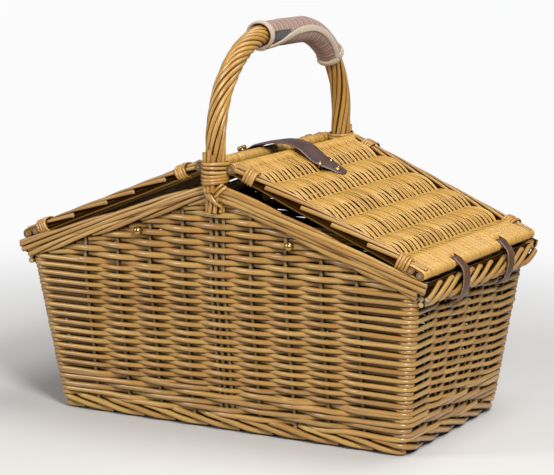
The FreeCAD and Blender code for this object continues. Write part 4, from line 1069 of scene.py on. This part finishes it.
def spline(pts, step):
    """Smooth line through points (centripetal Catmull-Rom), evenly spaced."""
    p = np.asarray(pts, float); p = np.vstack([2 * p[0] - p[1], p, 2 * p[-1] - p[-2]])
    out = []
    for i in range(1, len(p) - 2):
        a, b, c, d = p[i - 1], p[i], p[i + 1], p[i + 2]
        t01 = np.linalg.norm(b - a) ** .5; t12 = np.linalg.norm(c - b) ** .5; t23 = np.linalg.norm(d - c) ** .5
        m1 = (c - b) + t12 * ((b - a) / t01 - (c - a) / (t01 + t12)); m2 = (c - b) + t12 * ((d - c) / t23 - (d - b) / (t12 + t23))
        t = np.linspace(0, 1, 20, endpoint=False)[:, None]
        out.append((2 * t ** 3 - 3 * t ** 2 + 1) * b + (t ** 3 - 2 * t ** 2 + t) * m1 + (-2 * t ** 3 + 3 * t ** 2) * c + (t ** 3 - t ** 2) * m2)
    out.append(p[-2][None]); q = np.vstack(out)
    d = np.concatenate([[0], np.cumsum(np.linalg.norm(np.diff(q, axis=0), axis=1))])
    s = np.linspace(0, d[-1], max(int(d[-1] / step), 4))
    return np.stack([np.interp(s, d, q[:, k]) for k in range(q.shape[1])], -1), s


def ribbon(bag, XZ, nrm, ycen, half, thick, crown=0.0, m=18, u0=0.0, slot=None, curl=0.0):
    """A leather band: XZ is its middle line, nrm its outer face's direction in XZ, half its half width."""
    n = len(XZ); half = np.broadcast_to(half, (n,))
    q = np.sin(np.linspace(-np.pi / 2, np.pi / 2, m))            # finer near the edges
    prof_t = np.concatenate([q, q[::-1]]); k = 2 * m
    e = np.sqrt(np.clip(1 - np.abs(q) ** 14, 0.0, 1))
    top = thick / 2 * e + crown * (1 - q ** 2); bot = -thick / 2 * e + crown * (1 - q ** 2) * 0.8
    hh = np.concatenate([top, bot[::-1]])
    X = XZ[:, None, 0] + nrm[:, None, 0] * (hh + curl * prof_t ** 2)[None, :]
    Z = XZ[:, None, 1] + nrm[:, None, 1] * (hh + curl * prof_t ** 2)[None, :]
    Y = ycen + half[:, None] * prof_t[None, :]
    V = np.stack([X, Y, Z], -1).reshape(-1, 3)
    L = np.concatenate([[0], np.cumsum(np.linalg.norm(np.diff(XZ, axis=0), axis=1))])
    wp = np.zeros((n, k, 3)); wp[:, :, 0] = (L + u0)[:, None]; wp[:, :, 1] = prof_t; wp[:, :, 2] = np.concatenate([np.ones(m), np.zeros(m)])
    i = np.arange(n - 1)[:, None]; j = np.arange(k)[None, :]; j2 = (j + 1) % k
    Q = np.stack([i * k + j, i * k + j2, (i + 1) * k + j2, (i + 1) * k + j], -1).reshape(-1, 4)
    # orientation: flip where the band runs the other way
    tng = XZ[1] - XZ[0]; cr = tng[0] * nrm[0, 1] - tng[1] * nrm[0, 0]
    t0 = np.array([[0, z, z + 1] for z in range(1, k - 1)]); caps = np.vstack([t0[:, ::-1], t0 + (n - 1) * k])
    if cr > 0: Q = Q[:, ::-1]; caps = caps[:, ::-1]
    bag.add(V, Q, caps, wp.reshape(-1, 3), np.zeros(n * k))


def sxz(s, n, side):
    return (side * (RIDGE_X + s * CP + n * SP), RIDGE_Z - s * SP + n * CP)


MIDN = 8.5
strap_pts = [sxz(61.9, 7.0, 1), sxz(52, 7.0, 1), sxz(42, 7.0, 1), sxz(33, 7.05, 1), sxz(25.6, 7.6, 1), (31.0, 292.6), (17.0, 297.4), (3.0, 298.2), (-10.0, 296.2),
             sxz(3.0, 9.6, -1), sxz(10.0, 8.7, -1), sxz(17.0, MIDN, -1), sxz(28, MIDN, -1), sxz(44.4, MIDN, -1)]
XZ, SL_ = spline(strap_pts, 1.5)
T_ = np.gradient(XZ, axis=0); T_ /= np.linalg.norm(T_, axis=1)[:, None]
NR_ = np.stack([T_[:, 1], -T_[:, 0]], -1)          # path runs towards -x, so the outer face is up
NR_ *= np.sign(NR_[len(NR_) // 2, 1])
Ltot = SL_[-1]
hw = np.interp(SL_, [0, 12, 15, 20, 25, 30, 36, Ltot], [12.5, 12.5, 13.4, 15.8, 18.2, 19.0, 19.0, 19.0])
hw = np.convolve(np.concatenate([np.full(2, hw[0]), hw, np.full(2, hw[-1])]), np.ones(5) / 5, "valid")
c = np.clip((12.5 - SL_) / 12.5, 0, 1); hw = hw * np.sqrt(np.clip(1 - c ** 2, 0.0004, 1))
c2 = np.clip((SL_ - (Ltot - 11)) / 11, 0, 1); hw = hw - 11 * (1 - np.sqrt(np.clip(1 - c2 ** 2, 0.0004, 1)))
st = Bag(); ribbon(st, XZ, NR_, 0.0, np.maximum(hw, 0.3), 2.1, crown=0.25, m=22)
so = st.make("closure_strap", LEATHER, None, ("strap_base", "strap_flap"))
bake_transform(so)
lp = Bag()
for side, nm in ((1, "right"), (-1, "left")):
    lp = Bag()
    for y0 in (-59.0, 59.0):
        r = 4.0 + 0.2 + 0.8
        pts = [(HINGE_X - r, 167.4), (HINGE_X - r, 180.0), (HINGE_X - r, HINGE_Z - 2)]
        for a in range(180, 29, -15): pts.append((HINGE_X + r * math.cos(rad(a)), HINGE_Z + r * math.sin(rad(a))))
        pts += [(241.2, 196.0), (244.4, 192.4), (246.3, 188.0), (246.9, 182.0), (246.5, 174.0), (244.2, 166.0), (239.2, 158.6), (231.0, 154.6)]
        pts = np.array(pts); pts[:, 0] *= side
        xz, sl_ = spline(pts, 1.4)
        tt = np.gradient(xz, axis=0); tt /= np.linalg.norm(tt, axis=1)[:, None]
        nn = np.stack([-tt[:, 1], tt[:, 0]], -1) * side
        w_ = 8.0 * (1 + 0.06 * np.sin(sl_ / 9.0) - 0.10 * np.exp(-((sl_ - 33) / 9.0) ** 2))
        ribbon(lp, xz, nn, y0, w_, 1.7, crown=0.9, m=14)
    lp.make(nm + "_hinge_leathers", LOOPL, "basket", (nm + "_hinge_loops",))


# ---------------------------------------------------------------- brass
def brass_mat(name, base=(0.50, 0.35, 0.13), dark=(0.15, 0.09, 0.03)):
    m, nt, b = new_mat(name)
    tc = N(nt, "ShaderNodeTexCoord")
    mp = N(nt, "ShaderNodeVectorMath"); mp.operation = "SCALE"; mp.inputs["Scale"].default_value = 1000.0
    nt.links.new(tc.outputs["Object"], mp.inputs[0])
    a = noise(nt, mp.outputs[0], 0.45, 4.0, 0.6); f = noise(nt, mp.outputs[0], 2.6, 2.0)
    col = mix(nt, math_(nt, "MULTIPLY", math_(nt, "SUBTRACT", a, 0.47), 3.0, clamp=True), base, dark)
    nt.links.new(col, b.inputs["Base Color"])
    b.inputs["Metallic"].default_value = 1.0
    nt.links.new(math_(nt, "ADD", 0.12, math_(nt, "MULTIPLY", a, 0.22)), b.inputs["Roughness"])
    bp = N(nt, "ShaderNodeBump"); bp.inputs["Strength"].default_value = 0.08; bp.inputs["Distance"].default_value = 0.0002
    nt.links.new(f, bp.inputs["Height"]); nt.links.new(bp.outputs[0], b.inputs["Normal"])
    return m


BRASS = brass_mat("brass_worn")


def lathe(bag, prof, centre, axis, sides=36):
    """Revolves (radius, height) points round an axis."""
    ax = np.asarray(axis, float); ax /= np.linalg.norm(ax)
    u = np.cross(ax, [0.3, 1, 0.2]); u /= np.linalg.norm(u); w = np.cross(ax, u)
    a = np.linspace(0, 2 * np.pi, sides, endpoint=False)
    pr = np.asarray(prof, float); n = len(pr)
    V = (np.asarray(centre, float) + ax * pr[:, 1][:, None, None]
         + (u * np.cos(a)[:, None] + w * np.sin(a)[:, None])[None] * pr[:, 0][:, None, None]).reshape(-1, 3)
    i = np.arange(n - 1)[:, None]; j = np.arange(sides)[None, :]; j2 = (j + 1) % sides
    Q = np.stack([i * sides + j, i * sides + j2, (i + 1) * sides + j2, (i + 1) * sides + j], -1).reshape(-1, 4)
    bag.add(V, Q, np.zeros((0, 3), int), np.zeros((n * sides, 3)), np.zeros(n * sides))


def fine_prof(pts, k=5):
    q, _ = spline(pts, 0.12 if False else 0.2)
    return q


axr = np.array([SP, 0, CP]); axl = np.array([-SP, 0, CP])
rv = Bag()
for s_, y_, r_ in ((35.0, -13.0, 3.5), (35.0, 13.0, 3.5), (51.0, 0.0, 5.2)):
    x, z_ = sxz(s_, 7.9, 1)
    c_ = (x, y_, z_)
    ring = [(0.4 * r_, 0.2), (0.42 * r_, 0.8), (0.5 * r_, 1.25), (0.66 * r_, 1.45), (0.83 * r_, 1.2), (0.96 * r_, 0.6), (1.0 * r_, 0.1), (0.98 * r_, -0.5)]
    lathe(rv, ring, c_, axr)
    lathe(rv, [(0.001, 1.25), (0.14 * r_, 1.2), (0.26 * r_, 0.95), (0.34 * r_, 0.5), (0.37 * r_, 0.0), (0.4 * r_, -0.2)], c_, axr)
    lathe(rv, [(0.001, -14.0 + 0.2), (1.5, -14.0 + 0.3), (1.5, -0.5)], c_, axr, 16)
rv.make("strap_ring_rivets", BRASS, "right_lid", ("strap_rivets",))
tb = Bag()
x, z_ = sxz(28.0, 13.0, -1)
ends = np.array([-CP, 0, -SP])
bar = []
for h, r_ in ((-5.2, 0.001), (-5.2, 1.6), (-4.9, 2.2), (-4.3, 2.5), (-3.7, 2.2), (-3.3, 2.0), (-2.8, 2.45), (-2.2, 2.6), (-1.6, 2.35), (-1.2, 2.05), (-0.7, 2.45), (0, 2.6), (0.7, 2.45), (1.2, 2.05),
              (1.6, 2.35), (2.2, 2.6), (2.8, 2.45), (3.3, 2.0), (3.7, 2.2), (4.3, 2.5), (4.9, 2.2), (5.2, 1.6), (5.2, 0.001)):
    bar.append((r_, h))
lathe(tb, bar[::-1], (x, 0, z_), ends, 28)
lathe(tb, [(0.001, 0.4), (1.9, 0.3), (2.0, -2.0), (2.5, -5.4), (2.6, -6.0), (2.0, -6.1), (2.0, -18.0), (0.001, -18.0)][::1], (x, 0, z_), axl, 24)
tb.make("turnlock_barrel", BRASS, "turn_button", ("turnlock_button",))

for nd in ("ball_studs", "stud_washers", "stud_nuts", "strap_burrs", "turnlock_plate", "strap_eyelet"):
    o = bpy.data.objects[nd]
    if not o.material_slots: o.data.materials.append(BRASS)
    for sl2 in o.material_slots: sl2.material = BRASS
    for pl in o.data.polygons: pl.use_smooth = False


def core_mat():
    m, nt, b = new_mat("bow_core_wood")
    tc = N(nt, "ShaderNodeTexCoord")
    mp = N(nt, "ShaderNodeVectorMath"); mp.operation = "SCALE"; mp.inputs["Scale"].default_value = 1000.0
    nt.links.new(tc.outputs["Object"], mp.inputs[0])
    a = noise(nt, mp.outputs[0], 0.2, 5.0, 0.7)
    col = ramp(nt, a, [(0.3, (0.16, 0.08, 0.03)), (0.5, (0.34, 0.19, 0.075)), (0.7, (0.45, 0.28, 0.12))])
    nt.links.new(col, b.inputs["Base Color"])
    nt.links.new(math_(nt, "ADD", 0.45, math_(nt, "MULTIPLY", a, 0.25)), b.inputs["Roughness"])
    bp = N(nt, "ShaderNodeBump"); bp.inputs["Strength"].default_value = 0.3; bp.inputs["Distance"].default_value = 0.0005
    nt.links.new(a, bp.inputs["Height"]); nt.links.new(bp.outputs[0], b.inputs["Normal"])
    return m


hb = bpy.data.objects["handle_bow"]; CORE = core_mat()
if not hb.material_slots: hb.data.materials.append(CORE)
for sl2 in hb.material_slots: sl2.material = CORE

# ---------------------------------------------------------------- stage and light
me = bpy.data.meshes.new("floor")
S = 1.2
me.from_pydata([(-S, -S, 0), (S, -S, 0), (S, S, 0), (-S, S, 0)], [], [(0, 1, 2, 3)])
floor = bpy.data.objects.new("floor", me); bpy.context.scene.collection.objects.link(floor)
fm, fnt, fb = new_mat("pale_floor"); fb.inputs["Base Color"].default_value = (0.62, 0.61, 0.60, 1); fb.inputs["Roughness"].default_value = 0.8
# the pale sheet ends in a soft edge
ftc = fnt.nodes.new("ShaderNodeTexCoord"); fvl = fnt.nodes.new("ShaderNodeVectorMath"); fvl.operation = "LENGTH"; fnt.links.new(ftc.outputs["Object"], fvl.inputs[0])
fmr = fnt.nodes.new("ShaderNodeMapRange"); fmr.interpolation_type = "SMOOTHSTEP"
fmr.inputs["From Min"].default_value = 0.30; fmr.inputs["From Max"].default_value = 1.15; fmr.inputs["To Min"].default_value = 0.0; fmr.inputs["To Max"].default_value = 1.0
fnt.links.new(fvl.outputs["Value"], fmr.inputs["Value"])
ftr = fnt.nodes.new("ShaderNodeBsdfTransparent"); fmx = fnt.nodes.new("ShaderNodeMixShader")
fnt.links.new(fmr.outputs[0], fmx.inputs[0]); fnt.links.new(fb.outputs[0], fmx.inputs[1]); fnt.links.new(ftr.outputs[0], fmx.inputs[2])
fnt.links.new(fmx.outputs[0], [n for n in fnt.nodes if n.type == "OUTPUT_MATERIAL"][0].inputs[0])
me.materials.append(fm); floor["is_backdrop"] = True
bpy.context.scene.view_settings.view_transform = "Standard"
world = bpy.data.worlds.new("world"); bpy.context.scene.world = world; world.use_nodes = True
wt = world.node_tree
bg = wt.nodes["Background"]; bg.inputs[0].default_value = (0.96, 0.97, 1.0, 1); bg.inputs[1].default_value = 0.24
bg2 = wt.nodes.new("ShaderNodeBackground"); bg2.inputs[0].default_value = (0.975, 0.975, 0.98, 1); bg2.inputs[1].default_value = 0.99
lp_ = wt.nodes.new("ShaderNodeLightPath"); mx_ = wt.nodes.new("ShaderNodeMixShader")
wt.links.new(lp_.outputs["Is Camera Ray"], mx_.inputs[0]); wt.links.new(bg.outputs[0], mx_.inputs[1]); wt.links.new(bg2.outputs[0], mx_.inputs[2])
wt.links.new(mx_.outputs[0], wt.nodes["World Output"].inputs[0])


def area(name, loc, target, size, power, col=(1, 1, 1)):
    d = bpy.data.lights.new(name, "AREA"); d.shape = "RECTANGLE"; d.size, d.size_y = size; d.energy = power; d.color = col
    o = bpy.data.objects.new(name, d); bpy.context.scene.collection.objects.link(o)
    o.location = loc
    o.rotation_euler = (Vector(target) - Vector(loc)).to_track_quat("-Z", "Y").to_euler()
    return o


area("key", (1.35, -1.4, 1.45), (0, 0, 0.15), (0.55, 0.55), 50, (1, 0.985, 0.96))
area("fill", (-1.4, -1.5, 1.0), (0, 0, 0.15), (0.6, 0.7), 17, (1.0, 0.99, 0.97))
area("top", (0.6, 0.2, 1.9), (0, 0, 0.15), (1.0, 0.9), 20)

b = [list(map(float, p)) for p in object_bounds()]
